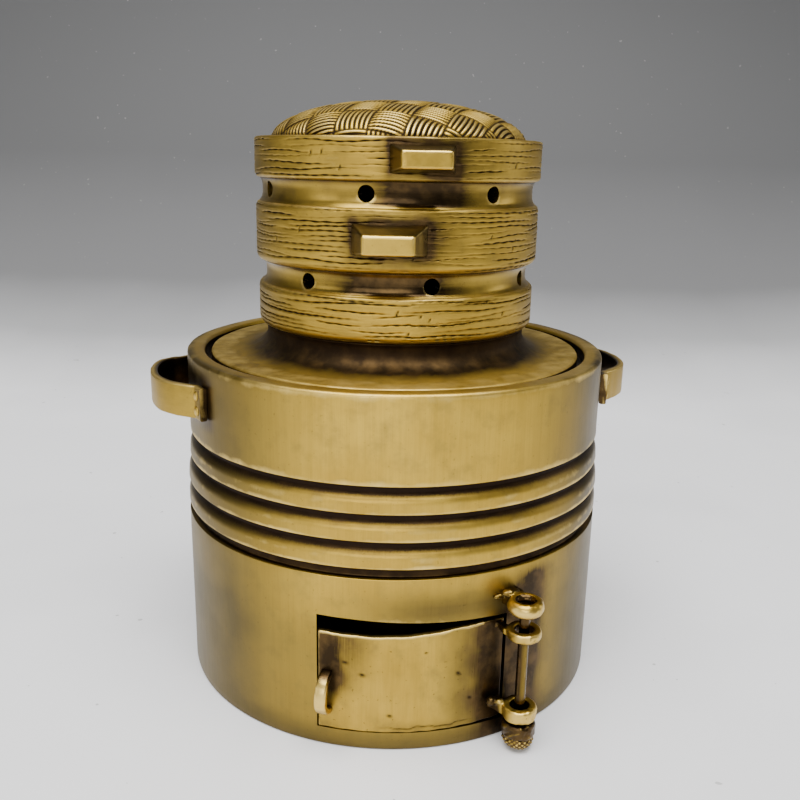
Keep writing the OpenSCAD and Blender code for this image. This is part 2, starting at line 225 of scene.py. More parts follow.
def outline(corners, spacing):
    """A closed outline from (radius, height, fillet) corners, with its runs cut to a spacing."""
    path = []
    count = len(corners)
    for i, corner in enumerate(corners):
        before = np.array(corners[i - 1][:2], float)
        here = np.array(corner[:2], float)
        after = np.array(corners[(i + 1) % count][:2], float)
        if corner[2] <= 0:
            path.append(here)
            continue
        u = (before - here) / np.linalg.norm(before - here)
        v = (after - here) / np.linalg.norm(after - here)
        half = math.acos(max(-1, min(1, float(u @ v)))) / 2
        middle = here + (u + v) / np.linalg.norm(u + v) * corner[2] / math.sin(half)
        start = here + u * corner[2] / math.tan(half) - middle
        end = here + v * corner[2] / math.tan(half) - middle
        first = math.atan2(start[1], start[0])
        turn = math.atan2(end[1], end[0]) - first
        turn = (turn + math.pi) % (2 * math.pi) - math.pi
        for k in range(FILLET_STEPS + 1):
            t = first + turn * k / FILLET_STEPS
            path.append(middle + corner[2] * np.array([math.cos(t), math.sin(t)]))
    cut = []
    for i, p in enumerate(path):
        q = path[(i + 1) % len(path)]
        parts = max(1, math.ceil(np.linalg.norm(q - p) / spacing))
        cut.extend(p + (q - p) * k / parts for k in range(parts))
    return np.array(cut)


def ring_faces(around, along):
    """Quads of a closed outline that is turned all the way round the axis."""
    i = np.arange(around)[:, None]
    j = np.arange(along)[None, :]
    near = (i + 1) % around
    step = (j + 1) % along
    corners = [i * along + j, near * along + j, near * along + step, i * along + step]
    return np.stack(corners, axis=-1).reshape(-1, 4)


def grid_faces(count, rows):
    """Quads of an open grid: count columns of rows points."""
    i = np.arange(count - 1)[:, None]
    j = np.arange(rows - 1)[None, :]
    here = i * rows + j
    return np.stack([here, here + rows, here + rows + 1, here + 1], axis=-1).reshape(-1, 4)


def grid_border(count, rows):
    """The points along an open grid's four sides, in order."""
    last = (count - 1) * rows
    there = [k * rows for k in range(count)] + [last + k for k in range(1, rows)]
    back = [k * rows + rows - 1 for k in range(count - 2, -1, -1)] + list(range(rows - 2, 0, -1))
    return there + back


def lathe_grid(profile, around):
    """Azimuth, radius and height grids of an outline turned round the axis."""
    azimuth = np.arange(around)[:, None] * 360 / around + 0 * profile[None, :, 0]
    return azimuth, profile[None, :, 0] + 0 * azimuth, profile[None, :, 1] + 0 * azimuth


def broaden(points, way=1):
    """Widens the lower firebox from side to side, or with way -1 undoes it."""
    points = points.copy()
    points[:, 0] *= (1 + BROADEN * (1 - smooth(46, 62, points[:, 2]))) ** way
    return points


def prism(points, low, high):
    """Points and faces of a prism from a plan outline, from one height to another."""
    count = len(points)
    solid = [(x, y, low) for x, y in points] + [(x, y, high) for x, y in points]
    faces = [tuple(range(count))[::-1], tuple(range(count, 2 * count))]
    faces += [(i, (i + 1) % count, count + (i + 1) % count, count + i) for i in range(count)]
    return solid, faces


def sweep(path, side, up, half_wide, half_high, corner, per_corner=4):
    """Points and faces of a rounded bar along an open path, wide along side and high along up."""
    section = []
    quarters = ((1, 1, 0), (-1, 1, 90), (-1, -1, 180), (1, -1, 270))
    for sx, sy, start in quarters:
        for k in range(per_corner + 1):
            t = math.radians(start + 90 * k / per_corner)
            section.append((sx * (half_wide - corner) + corner * math.cos(t),
                sy * (half_high - corner) + corner * math.sin(t)))
    section = np.array(section)
    points = (path[:, None, :] + section[None, :, 0:1] * side[:, None, :]
        + section[None, :, 1:2] * up[:, None, :])
    size = len(section)
    count = len(path)
    faces = []
    for i in range(count - 1):
        for j in range(size):
            k = (j + 1) % size
            faces.append((i * size + j, i * size + k, (i + 1) * size + k, (i + 1) * size + j))
    faces.append(tuple(range(size)))
    faces.append(tuple((count - 1) * size + k for k in range(size))[::-1])
    return points.reshape(-1, 3), faces


def melt_parts(name, parts, material, soften):
    """One casting from (points, faces) parts, melted together on a voxel grid and softened."""
    points = []
    faces = []
    for part_points, part_faces in parts:
        base = len(points)
        points.extend(np.asarray(part_points, float).tolist())
        faces.extend(tuple(base + k for k in face) for face in part_faces)
    obj = new_piece(name, points, faces, material)
    remesh = obj.modifiers.new("Melt", "REMESH")
    remesh.mode = "VOXEL"
    remesh.voxel_size = MELT_VOXEL * MM
    relax = obj.modifiers.new("Soften", "SMOOTH")
    relax.iterations = soften
    relax.factor = 0.5
    apply_modifiers(obj)
    return obj


def roughen(obj, amount, cell, seed):
    """Moves a cast piece's points along their normals by fine noise, in millimetres."""
    points = mesh_points(obj)
    normals = np.empty(len(points) * 3)
    obj.data.vertices.foreach_get("normal", normals)
    normals = normals.reshape(-1, 3)
    u = (points[:, 0] + 0.7 * points[:, 1]) / cell
    v = (points[:, 2] + 0.7 * points[:, 1] - 0.3 * points[:, 0]) / cell
    shift = lattice(u, v, 61, seed) + 0.5 * lattice(2 * u, 2 * v, 61, seed + 1)
    move_points(obj, points + normals * (amount * shift)[:, None])
    return shift


# ---- Finishes ----

def node(tree, kind, inputs=None, **settings):
    """A shader or geometry node with its settings, its input values and its links."""
    made = tree.nodes.new(kind)
    for key, value in settings.items():
        setattr(made, key, value)
    for key, value in (inputs or {}).items():
        socket = made.inputs[key]
        if isinstance(value, bpy.types.NodeSocket):
            tree.links.new(value, socket)
        else:
            socket.default_value = value
    return made


def math_node(tree, operation, *values, clamp=False):
    """The output of a Math node."""
    return node(tree, "ShaderNodeMath", dict(enumerate(values)), operation=operation,
        use_clamp=clamp).outputs[0]


def blend_colour(tree, factor, first, second):
    """The output of a colour Mix node."""
    mix = node(tree, "ShaderNodeMix", data_type="RGBA")
    for index, value in ((0, factor), (6, first), (7, second)):
        if isinstance(value, bpy.types.NodeSocket):
            tree.links.new(value, mix.inputs[index])
        else:
            mix.inputs[index].default_value = value if index == 0 else (*value[:3], 1)
    return mix.outputs[2]


def ranged(tree, value, low, high, to_low=0.0, to_high=1.0):
    """The output of a Map Range node."""
    return node(tree, "ShaderNodeMapRange", {"Value": value, "From Min": low, "From Max": high,
        "To Min": to_low, "To Max": to_high}).outputs[0]


def jittered(tree, noise, amount, value):
    """A value moved up and down by a noise."""
    return math_node(tree, "MULTIPLY_ADD", math_node(tree, "SUBTRACT", noise, 0.5), amount, value)


def new_material(name):
    """A material, its nodes, its Principled shader and its Object coordinates."""
    material = bpy.data.materials.new(name)
    material.use_nodes = True
    tree = material.node_tree
    shader = tree.nodes["Principled BSDF"]
    place = node(tree, "ShaderNodeTexCoord").outputs["Object"]
    return material, tree, shader, place


def noise_at(tree, place, scale, stretch=(1, 1, 1), detail=3.0, rough=0.55, shift=(0, 0, 0)):
    """Noise on Object coordinates, stretched so that it can run as streaks."""
    moved = node(tree, "ShaderNodeMapping", {"Vector": place, "Location": shift, "Scale": stretch})
    return node(tree, "ShaderNodeTexNoise", {"Vector": moved.outputs[0], "Scale": scale,
        "Detail": detail, "Roughness": rough}).outputs["Fac"]


def bump(tree, shader, height, strength, depth):
    """Gives a shader its bump, with a depth in millimetres."""
    made = node(tree, "ShaderNodeBump", {"Height": height, "Strength": strength,
        "Distance": depth * MM})
    tree.links.new(made.outputs["Normal"], shader.inputs["Normal"])


def brass(name, finish, brush=(1, 1, 0.03), brush_scale=2600, brush_depth=0.02, rough=(0.34, 0.5),
        mottle=0.5, pits=0.25, grain_dark=0.35, tint=1.0, layers=True):
    """Old brass: brushed streaks, mottling, pits, dark patina, painted shade and bright worn edges.

    The point layers are patina (dark film, with painted shade in hollows and under parts), shade
    (painted shade), edge (worn bright, with painted highlights) and crack (black lines: cracks,
    pits and painted shadow).
    """
    _, tree, shader, place = new_material(name)
    cloud = noise_at(tree, place, 55, detail=5, rough=0.6)
    blotch = noise_at(tree, place, 210, detail=4, rough=0.6, shift=(3, 1, 2))
    streak = noise_at(tree, place, brush_scale, brush, detail=2.5, rough=0.65)
    long_streak = noise_at(tree, place, brush_scale * 0.22, brush, detail=2, rough=0.5,
        shift=(5, 2, 1))
    speck = noise_at(tree, place, 1500, detail=1, rough=0.4, shift=(1, 7, 3))
    mid, light, olive = ([c * tint for c in colour] for colour in (finish.brass_colour,
        finish.light_colour, finish.olive_colour))
    colour = blend_colour(tree, ranged(tree, cloud, 0.35, 0.68), mid, light)
    colour = blend_colour(tree, ranged(tree, blotch, 0.5, 0.78, 0, mottle), colour, olive)
    lines = math_node(tree, "ADD", ranged(tree, streak, 0.3, 0.62, grain_dark, 0),
        ranged(tree, long_streak, 0.32, 0.6, grain_dark * 0.7, 0), clamp=True)
    colour = blend_colour(tree, lines, colour, [c * 0.45 for c in mid])
    gloss = math_node(tree, "MULTIPLY_ADD", streak, rough[1] - rough[0], rough[0])
    gloss = jittered(tree, cloud, 0.14, gloss)
    if layers:
        patina, edge, crack, shade = (
            node(tree, "ShaderNodeAttribute", attribute_name=layer).outputs["Fac"]
            for layer in ("patina", "edge", "crack", "shade"))
        # The shade layer: painted shade, blended in smoothly.
        shade_mix = ranged(tree, cloud, 0.3, 0.7, 0.88, 1.08)
        shade_mix = math_node(tree, "MULTIPLY", shade, shade_mix, clamp=True)
        colour = blend_colour(tree, shade_mix, colour, finish.painted_shade_colour)
        # Dark film from the patina layer, which also carries painted shade.
        fine = jittered(tree, streak, 0.32, jittered(tree, blotch, 0.55, patina))
        darkening = math_node(tree, "POWER", ranged(tree, fine, 0.06, 0.82), 1.6)
        darkening = math_node(tree, "MULTIPLY", darkening, ranged(tree, patina, 0.0, 0.12))
        dark = blend_colour(tree, ranged(tree, blotch, 0.4, 0.66), finish.patina_and_shade_colour,
            finish.brown_colour)
        colour = blend_colour(tree, darkening, colour, dark)
        # Bright worn brass, and painted highlights, from the edge layer.
        wear_and_highlight = ranged(tree, jittered(tree, blotch, 1.2, edge), 0.25, 0.85)
        wear_and_highlight = math_node(tree, "MULTIPLY", wear_and_highlight, ranged(tree, edge, 0, 0.1))
        colour = blend_colour(tree, wear_and_highlight, colour, finish.wear_and_highlight_colour)
        # Black cracks, pits and painted shadow.
        colour = blend_colour(tree, crack, colour, finish.crack_and_shadow_colour)
        gloss = math_node(tree, "MULTIPLY_ADD", darkening, -0.1, gloss)
        gloss = math_node(tree, "MULTIPLY_ADD", crack, 0.3, gloss, clamp=True)
    spots = ranged(tree, speck, 0.71, 0.77, 0, pits)
    colour = blend_colour(tree, spots, colour, finish.patina_and_shade_colour)
    tree.links.new(colour, shader.inputs["Base Color"])
    shader.inputs["Metallic"].default_value = 1.0
    tree.links.new(gloss, shader.inputs["Roughness"])
    relief = math_node(tree, "MULTIPLY_ADD", blotch, 0.5, streak)
    relief = math_node(tree, "MULTIPLY_ADD", spots, -0.8, relief)
    bump(tree, shader, relief, 0.6, brush_depth)


def cotton(name):
    """Braided cotton, scorched at its tip."""
    _, tree, shader, place = new_material(name)
    weave = node(tree, "ShaderNodeTexWave", {"Vector": place, "Scale": 420.0, "Distortion": 3.0,
        "Detail": 2.0}, bands_direction="DIAGONAL").outputs["Fac"]
    high = node(tree, "ShaderNodeSeparateXYZ", {0: place}).outputs[2]
    burnt = ranged(tree, high, 29.3 * MM, 31 * MM)
    pale = blend_colour(tree, weave, (0.42, 0.37, 0.27), (0.78, 0.73, 0.6))
    colour = blend_colour(tree, burnt, pale, (0.015, 0.012, 0.01))
    tree.links.new(colour, shader.inputs["Base Color"])
    shader.inputs["Roughness"].default_value = 0.9
    bump(tree, shader, weave, 0.7, 0.2)


BRASS_FINISHES = {
    "Body brass": dict(brush_scale=3200, mottle=0.65, grain_dark=0.17),
    "Door brass": dict(brush=(1, 1, 0.05), mottle=0.8, pits=0.45, grain_dark=0.2),
    "Plate brass": dict(brush=(1, 1, 1), brush_scale=700, mottle=0.7, rough=(0.48, 0.62),
        tint=0.95),
    "Handle brass": dict(brush=(0.2, 0.2, 1), mottle=0.4, grain_dark=0.2),
    "Basket brass": dict(brush=(0.03, 0.03, 1), mottle=0.6, grain_dark=0.25),
    "Neck brass": dict(brush=(0.03, 0.03, 1), brush_scale=1500, brush_depth=0.008, mottle=0.6,
        rough=(0.24, 0.4), grain_dark=0.15),
    "Dome brass": dict(brush=(1, 1, 1), brush_scale=1800, mottle=0.25, grain_dark=0.12, tint=1.2),
    "Polished brass": dict(brush=(1, 0.3, 1), brush_scale=900, brush_depth=0.006, mottle=0.25,
        rough=(0.26, 0.4), grain_dark=0.1, tint=1.05),
    "Cast brass": dict(brush=(1, 1, 1), brush_scale=1400, brush_depth=0.05, mottle=0.7,
        rough=(0.3, 0.5), pits=0.6),
    "Tarnished pin": dict(brush=(1, 1, 0.04), brush_scale=2400, rough=(0.22, 0.36), tint=0.7),
    "Dull inner brass": dict(brush=(1, 1, 1), brush_scale=600, mottle=0.9, rough=(0.5, 0.7),
        tint=0.3, layers=False),
    "Spun brass": dict(brush=(0.1, 0.1, 1), brush_scale=1600, brush_depth=0.01, rough=(0.26, 0.4),
        tint=0.9, layers=False),
}


def finishes():
    """Every finish of the stove, made once."""
    if "Body brass" not in bpy.data.materials:
        for name, look in BRASS_FINISHES.items():
            brass(name, bpy.context.scene.stove_finish, **look)
        cotton("Cotton wick")
    return {m.name: m for m in bpy.data.materials}


# ---- What a user would change ----

def length_property(name, description, default, low, high):
    """A length, given in millimetres."""
    return FloatProperty(name=name, description=description, default=default * MM, min=low * MM,
        max=high * MM, unit="LENGTH")


def colour_property(name, description, default):
    """A colour of the brass."""
    return FloatVectorProperty(name=name, description=description, subtype="COLOR", size=3, min=0,
        max=1, default=default)


class StoveSizes(bpy.types.PropertyGroup):
    """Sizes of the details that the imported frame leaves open."""
    groove_depth: length_property("Groove depth", "Depth of the firebox's ring grooves",
        1.4, 0.2, 2)
    vent_radius: length_property("Vent radius", "Radius of the baskets' vent holes", 1.75, 0.5, 3)
    vent_count: IntProperty(name="Vents", description="Number of vent holes in each row", default=7,
        min=3, max=16)
    grain_depth: length_property("Grain depth", "Depth of the bamboo grain's cracks", 0.36, 0, 0.6)
    weave_cell: length_property("Weave block", "Side of one block of the lid's weave", 7.6, 3, 15)
    weave_strips: IntProperty(name="Strips", description="Number of strips in a block of the weave",
        default=7, min=2, max=9)
    weave_depth: length_property("Weave depth", "Depth of the lid's weave", 0.42, 0, 1)


class StoveFinish(bpy.types.PropertyGroup):
    """Colours of the brass, and of its painted shade, shadow and highlights."""
    brass_colour: colour_property("Brass", "Brass where it is brushed", (0.47, 0.3, 0.042))
    light_colour: colour_property("Light brass", "Lighter patches of the brass", (0.6, 0.4, 0.062))
    olive_colour: colour_property("Olive", "Greenish tarnish on the brass", (0.3, 0.21, 0.05))
    # Painted shade: the colour laid on the sides, the lower wall and slopes facing away.
    painted_shade_colour: colour_property("Painted shade", "Painted shade on the sides and under parts", (0.11, 0.081, 0.026))
    # Worn edges, and painted highlights on crests, flares and lips.
    wear_and_highlight_colour: colour_property("Worn edge and highlight", "Brass polished by wear, and painted highlights", (0.74, 0.53, 0.15))
    # Patina, and painted shade inside, under parts and in holes.
    patina_and_shade_colour: colour_property("Patina and shade", "Dark film, and painted shade, in the hollows", (0.03, 0.019, 0.009))
    brown_colour: colour_property("Brown film", "Thinner, browner film", (0.09, 0.054, 0.02))
    # Dirt in cracks, and black painted shadow under the groove lips and the lowest band.
    crack_and_shadow_colour: colour_property("Crack", "Dirt in the cracks, and painted shadow", (0.02, 0.012, 0.008))


def sizes():
    """The scene's sizes, in millimetres where they are lengths."""
    group = bpy.context.scene.stove_sizes
    lengths = ("groove_depth", "vent_radius", "grain_depth", "weave_cell", "weave_depth")
    found = {key: getattr(group, key) / MM for key in lengths}
    found.update(vent_count=group.vent_count, weave_strips=group.weave_strips)
    return found


class StoveOperator(bpy.types.Operator):
    """Base of the stove's operators."""
    bl_options = {"REGISTER"}

    def execute(self, context):
        self.build(context)
        return {"FINISHED"}

    def build(self, context):
        raise NotImplementedError(self.bl_idname)


# ---- Firebox ----

def firebox_outline(depth):
    """Outline of the firebox wall, with its grooves, rim and ledge."""
    floor = BODY_R - depth
    corners = [(BORE_R, 0, 0.4), (BODY_R, 0, 0.5)]
    last = GROOVE_TOPS[-1]
    corners += [(BODY_R, last - 2.25, 0.15), (floor, last - 2.1, 0.35), (floor, last, 0.3),
        (BODY_R, last + 0.05, 0.2)]
    for top in GROOVE_TOPS[-2::-1]:
        corners += [(BODY_R, top - 3.15, 2.2), (floor, top - 1.45, 0.6), (floor, top, 0.3),
            (BODY_R, top + 0.05, 0.2)]
    corners += [(BODY_R, BODY_H, 0.8), (BORE_R, BODY_H, 0.9), (BORE_R, 76, 0), (42.4, 76, 0.4),
        (42.4, 73, 0.4), (BORE_R, 69.5, 0.5)]
    return outline(corners, spacing=1.6)


def near_clip(azimuth, height, clip, spread):
    """Dark film round a clip, with a painted shadow that carries it furthest on its right."""
    half = clip["base"][0] / 2
    across = np.radians(turned(azimuth - clip["az"])) * BAND_R
    right = np.maximum(across - half, 0) / (spread * 1.9)
    left = np.maximum(-across - half, 0) / (spread * 0.65)
    above = np.maximum(height - clip["base"][2], 0) / spread
    below = np.maximum(clip["base"][1] - height, 0) / (spread * 1.1)
    away = np.sqrt(right ** 2 + left ** 2 + above ** 2 + below ** 2)
    return np.exp(-(away / 0.9) ** 1.15)


class StoveBuildFirebox(StoveOperator):
    """Turns the firebox with its ring grooves and cuts its door opening"""
    bl_idname = "stove.build_firebox"
    bl_label = "Firebox"

    def build(self, context):
        made = finishes()
        size = sizes()
        profile = firebox_outline(size["groove_depth"])
        azimuth, radius, height = lathe_grid(profile, FIREBOX_AROUND)
        wander = ring_noise(azimuth, height, 18, 11, 3)
        outer = radius > BODY_R - 2
        radius = radius + np.where(outer, 0.05 * wander, 0)
        rim = height > BODY_H - 1.2
        nicks = ring_noise(azimuth, height, 70, 3, 9)
        height = height + np.where(rim, 0.13 * ring_noise(azimuth, 0 * height, 12, 5, 5) - 0.12, 0)
        radius = radius - np.where(rim & outer, 0.1 * np.clip(nicks, 0, 1), 0)
        lip = (np.abs(profile[:, 0] - BODY_R) < 0.25) & (profile[:, 1] > 38) & (profile[:, 1] < 61)
        radius = radius - lip[None, :] * 0.07 * np.clip(nicks, 0, 1)
        points = broaden(to_points(azimuth, radius, height))
        faces = ring_faces(FIREBOX_AROUND, len(profile))
        body = new_piece("Firebox_wall", points, faces, made["Body brass"])
        self.cut_opening(body)
        self.paint_body(body, size["groove_depth"])
        settle(body, "stove", "body_brass", "body_shell")

    def cut_opening(self, body):
        """Cuts the door opening through the front of the wall."""
        wavy_top = [(OPENING_HALF, 29.8), (15, 30.05), (9, 30.2), (2, 30.45), (-6, 30.75),
            (-13, 31.05), (-OPENING_HALF, OPENING_LEFT)]
        plan = [(-OPENING_HALF, OPENING_LOW), (OPENING_HALF, OPENING_LOW)] + wavy_top
        points, faces = prism(plan, 30, 60)
        points = [(x, -depth, high) for x, high, depth in points]
        cutter = new_piece("Opening_cutter", points, faces, body.data.materials[0])
        cut = body.modifiers.new("Opening", "BOOLEAN")
        cut.operation = "DIFFERENCE"
        cut.solver = "EXACT"
        cut.object = cutter
        apply_modifiers(body)
        mesh = cutter.data
        bpy.data.objects.remove(cutter)
        bpy.data.meshes.remove(mesh)

    def paint_body(self, body, depth):
        """Patina in the grooves, round the hinge and at the handles' feet; worn rims and ridges.

        Also painted shade inside, on the sides and low down, painted shadow under the groove lips,
        and painted highlights on the ridges' crests.
        """
        points = broaden(mesh_points(body), -1)
        azimuth, radius, height = cylinder_coords(points)
        outside = radius > BODY_R - depth - 0.3
        uneven = ring_noise(azimuth, height, 22, 8, 21)
        inset = np.clip((BODY_R - radius) / depth, 0, 1)
        banded = (height > 39) & (height < 61)

        # Dark film, in the grooves, at the hinge, over the door and at the handles' feet, with
        # painted shade on the wall behind each strap.
        patina = np.where(outside & banded, 1.1 * inset ** 0.8, 0)
        film_az = HINGE_AZ + 4
        across = np.radians(turned(azimuth - film_az)) * BODY_R
        reach = 6.8 + 6 * (1 - smooth(3, 9, height)) * (across < 0)
        hinge = np.exp(-(np.abs(across) / reach) ** 2.6)
        hinge = hinge * (1 - smooth(33, 39, height + 1.5 * uneven)) * (0.95 + 0.2 * uneven)
        knot = 1.1 * np.exp(-((across - 2.3) / 5.6) ** 2 - ((height - 36) / 4) ** 2)
        lintel = 0.66 * bump_at(height, 33.5, 4.2) * smooth(-24, 6, azimuth)
        lintel = lintel * (np.abs(azimuth) < 28)
        patina = np.maximum.reduce([patina, 1.3 * hinge, knot, 0.55 * lintel])
        for middle in HANDLE_AZ:
            off = np.abs(turned(azimuth - middle))
            foot = smooth(14, 20, off) * (1 - smooth(24.5, 28.5, off))
            foot = np.maximum(foot, 0.9 * (1 - smooth(15, 21, off)))
            tall = smooth(62.5, 66.5, height) * (1 - smooth(75.5, 79, height))
            patina = np.maximum(patina, 0.8 * foot * tall)
        # Painted shadow below the pull, a darker right side, and painted shade along the foot of
        # the wall.
        under = bump_at(azimuth, PULL_AZ, 5) * bump_at(height, 9, 6) * 0.35
        under = np.maximum(under, 0.42 * smooth(38, 60, azimuth) * (1 - smooth(100, 130, azimuth)))
        foot_line = (1 - smooth(0.2, 1.6, height)) * 0.4
        patina = np.where(outside, np.maximum.reduce([patina, under, foot_line]), patina)
        # Painted shade inside the bore and on the cut faces of the opening.
        inner = (radius < BORE_R + 0.2) & (height < 78.6)
        cut_face = ((np.abs(azimuth) < 24.6) & (height > 4) & (height < 31.4)
            & (radius < BODY_R - 0.2))
        patina = np.where(inner | cut_face, 0.95, patina)

        # Painted shade on the sides, on the lower wall and over the door.
        flank = smooth(17, 57, np.abs(turned(azimuth - 1)))
        sides = (0.95 + 0.05 * np.sin(np.radians(azimuth))) * flank
        lower = 0.5 * (1 - smooth(22, 40, height)) + 0.45 * (1 - smooth(1, 7, height))
        shade = np.maximum(sides, lower) + 0.35 * np.minimum(sides, lower) + 1.1 * lintel
        shade = shade * (0.97 + 0.06 * uneven)

        # Bright worn edges on the grooves, the rim and the head of the door opening, and a painted
        # highlight along the crest of each ridge.
        edge = np.zeros(len(points))
        for top in GROOVE_TOPS:
            crown = 0.9 * bump_at(height, top + 0.25, 0.35)
            if top > GROOVE_TOPS[-1]:
                crown = np.maximum(crown, 0.4 * bump_at(height, top - 3.6, 0.7))
            edge = np.maximum(edge, crown * (radius > BODY_R - 0.5))
        edge = np.maximum(edge, 0.8 * (height > BODY_H - 1.1) * (radius > BODY_R - 1.3))
        edge = np.maximum(edge, 0.55 * smooth(BODY_H - 0.35, BODY_H - 0.2, height))
        lintel_edge = ((np.abs(points[:, 0]) < OPENING_HALF + 0.06) & (points[:, 1] < 0)
            & (radius > BODY_R - 0.2))
        head = OPENING_LEFT - (points[:, 0] + OPENING_HALF) * OPENING_FALL
        edge = np.maximum(edge, lintel_edge * bump_at(height, head + 0.1, 0.3) * 0.5)
        edge = edge * (0.75 + 0.5 * uneven)
        edge = np.where(patina > 0.85, edge * 0.6, edge)

        # Painted shadow and dirt, black, at the top of each groove under its lip.
        black = np.zeros(len(points))
        for top in GROOVE_TOPS:
            under_lip = smooth(top - 2.2, top - 1.35, height) * (height < top + 0.01)
            black = np.maximum(black, 0.95 * under_lip)
        paint(body, patina=patina, edge=0.85 * edge, shade=shade * outside,
            crack=black * banded * (radius < BODY_R - 0.35) * outside)


# ---- Handles ----

def spline_through(knots, steps):
    """A smooth open path through its knots."""
    knots = np.array(knots, float)
    ends = np.concatenate([[2 * knots[0] - knots[1]], knots, [2 * knots[-1] - knots[-2]]])
    path = []
    for a, b, c, d in zip(ends[:-3], ends[1:-2], ends[2:-1], ends[3:]):
        for k in range(steps):
            t = k / steps
            path.append(0.5 * (2 * b + (c - a) * t + (2 * a - 5 * b + 4 * c - d) * t ** 2
                + (3 * b - a - 3 * c + d) * t ** 3))
    path.append(knots[-1])
    return np.array(path)


def refine(path, spacing):
    """Cuts the runs of an open path to a spacing."""
    cut = []
    for p, q in zip(path[:-1], path[1:]):
        parts = max(1, math.ceil(np.linalg.norm(q - p) / spacing))
        cut.extend(p + (q - p) * k / parts for k in range(parts))
    cut.append(path[-1])
    return np.array(cut)


def strap_path(way):
    """Middle line of a strap in plan, with X out from the wall and Y along it, from foot to foot.

    The leg on the door's side is splayed, and the far one stands straighter. way is 1 for the left
    strap and -1 for the right one, which stands out a little further.
    """
    lie = BODY_R + 0.95
    near, far = ([(lie * math.cos(math.radians(t)), lie * math.sin(math.radians(t))) for t in turns]
        for turns in ((23.5, 22.2, 20.9, 19.7), (-17.6, -19.6, -21.6, -23.5)))
    loop = [(49.9, 15.9), (53.3, 12.9), (55.7, 9.4), (57.2, 4.8), (57.75, -0.4), (57.5, -5.2),
        (56.4, -9.0), (54.2, -11.6), (51.4, -12.9)]
    path = spline_through(near + loop + far, 6)
    if way < 0:
        path[:, 0] = lie + (path[:, 0] - lie) * np.where(path[:, 0] > lie, 1.1, 1)
    path[:, 1] *= way
    return refine(path, 0.8)


def new_tree(name, source, result, inputs):
    """A geometry node tree with its named inputs, and their outputs inside it."""
    tree = bpy.data.node_groups.new(name, "GeometryNodeTree")
    face = tree.interface
    face.new_socket(source, in_out="INPUT", socket_type="NodeSocketGeometry")
    for label, kind, default in inputs:
        socket = face.new_socket(label, in_out="INPUT", socket_type="NodeSocket" + kind)
        if default is not None:
            socket.default_value = default
    face.new_socket("Finish", in_out="INPUT", socket_type="NodeSocketMaterial")
    face.new_socket(result, in_out="OUTPUT", socket_type="NodeSocketGeometry")
    return tree, node(tree, "NodeGroupInput").outputs


def rivet_tree():
    """Geometry nodes that set a domed rivet head on each point, facing out from the axis."""
    tree, given = new_tree("Rivet heads", "Points", "Rivets",
        (("Head radius", "Float", 1.0 * MM), ("Head height", "Float", 0.4)))
    head = node(tree, "GeometryNodeMeshUVSphere", {"Segments": 20, "Rings": 10,
        "Radius": given["Head radius"]})
    flat = node(tree, "ShaderNodeCombineXYZ", {0: 1.0, 1: 1.0, 2: given["Head height"]})
    squashed = node(tree, "GeometryNodeTransform", {"Geometry": head.outputs["Mesh"],
        "Scale": flat.outputs[0]})
    place = node(tree, "GeometryNodeInputPosition").outputs[0]
    out = node(tree, "ShaderNodeVectorMath", {0: place, 1: (1, 1, 0)},
        operation="MULTIPLY").outputs[0]
    aim = node(tree, "FunctionNodeAlignRotationToVector", {"Vector": out}, axis="Z")
    dots = node(tree, "GeometryNodeMeshToPoints", {"Mesh": given["Points"]})
    heads = node(tree, "GeometryNodeInstanceOnPoints", {"Points": dots.outputs[0],
        "Instance": squashed.outputs[0], "Rotation": aim.outputs[0]})
    solid = node(tree, "GeometryNodeRealizeInstances", {"Geometry": heads.outputs[0]})
    done = node(tree, "GeometryNodeSetMaterial", {"Geometry": solid.outputs[0],
        "Material": given["Finish"]})
    node(tree, "NodeGroupOutput", {"Rivets": done.outputs[0]})
    return tree


def run_tree(obj, tree, values):
    """Runs a geometry node tree on a piece and keeps the result as its plain mesh."""
    modifier = obj.modifiers.new(tree.name, "NODES")
    modifier.node_group = tree
    for item in tree.interface.items_tree:
        if item.item_type == "SOCKET" and item.in_out == "INPUT" and item.name in values:
            modifier[item.identifier] = values[item.name]
    apply_modifiers(obj)


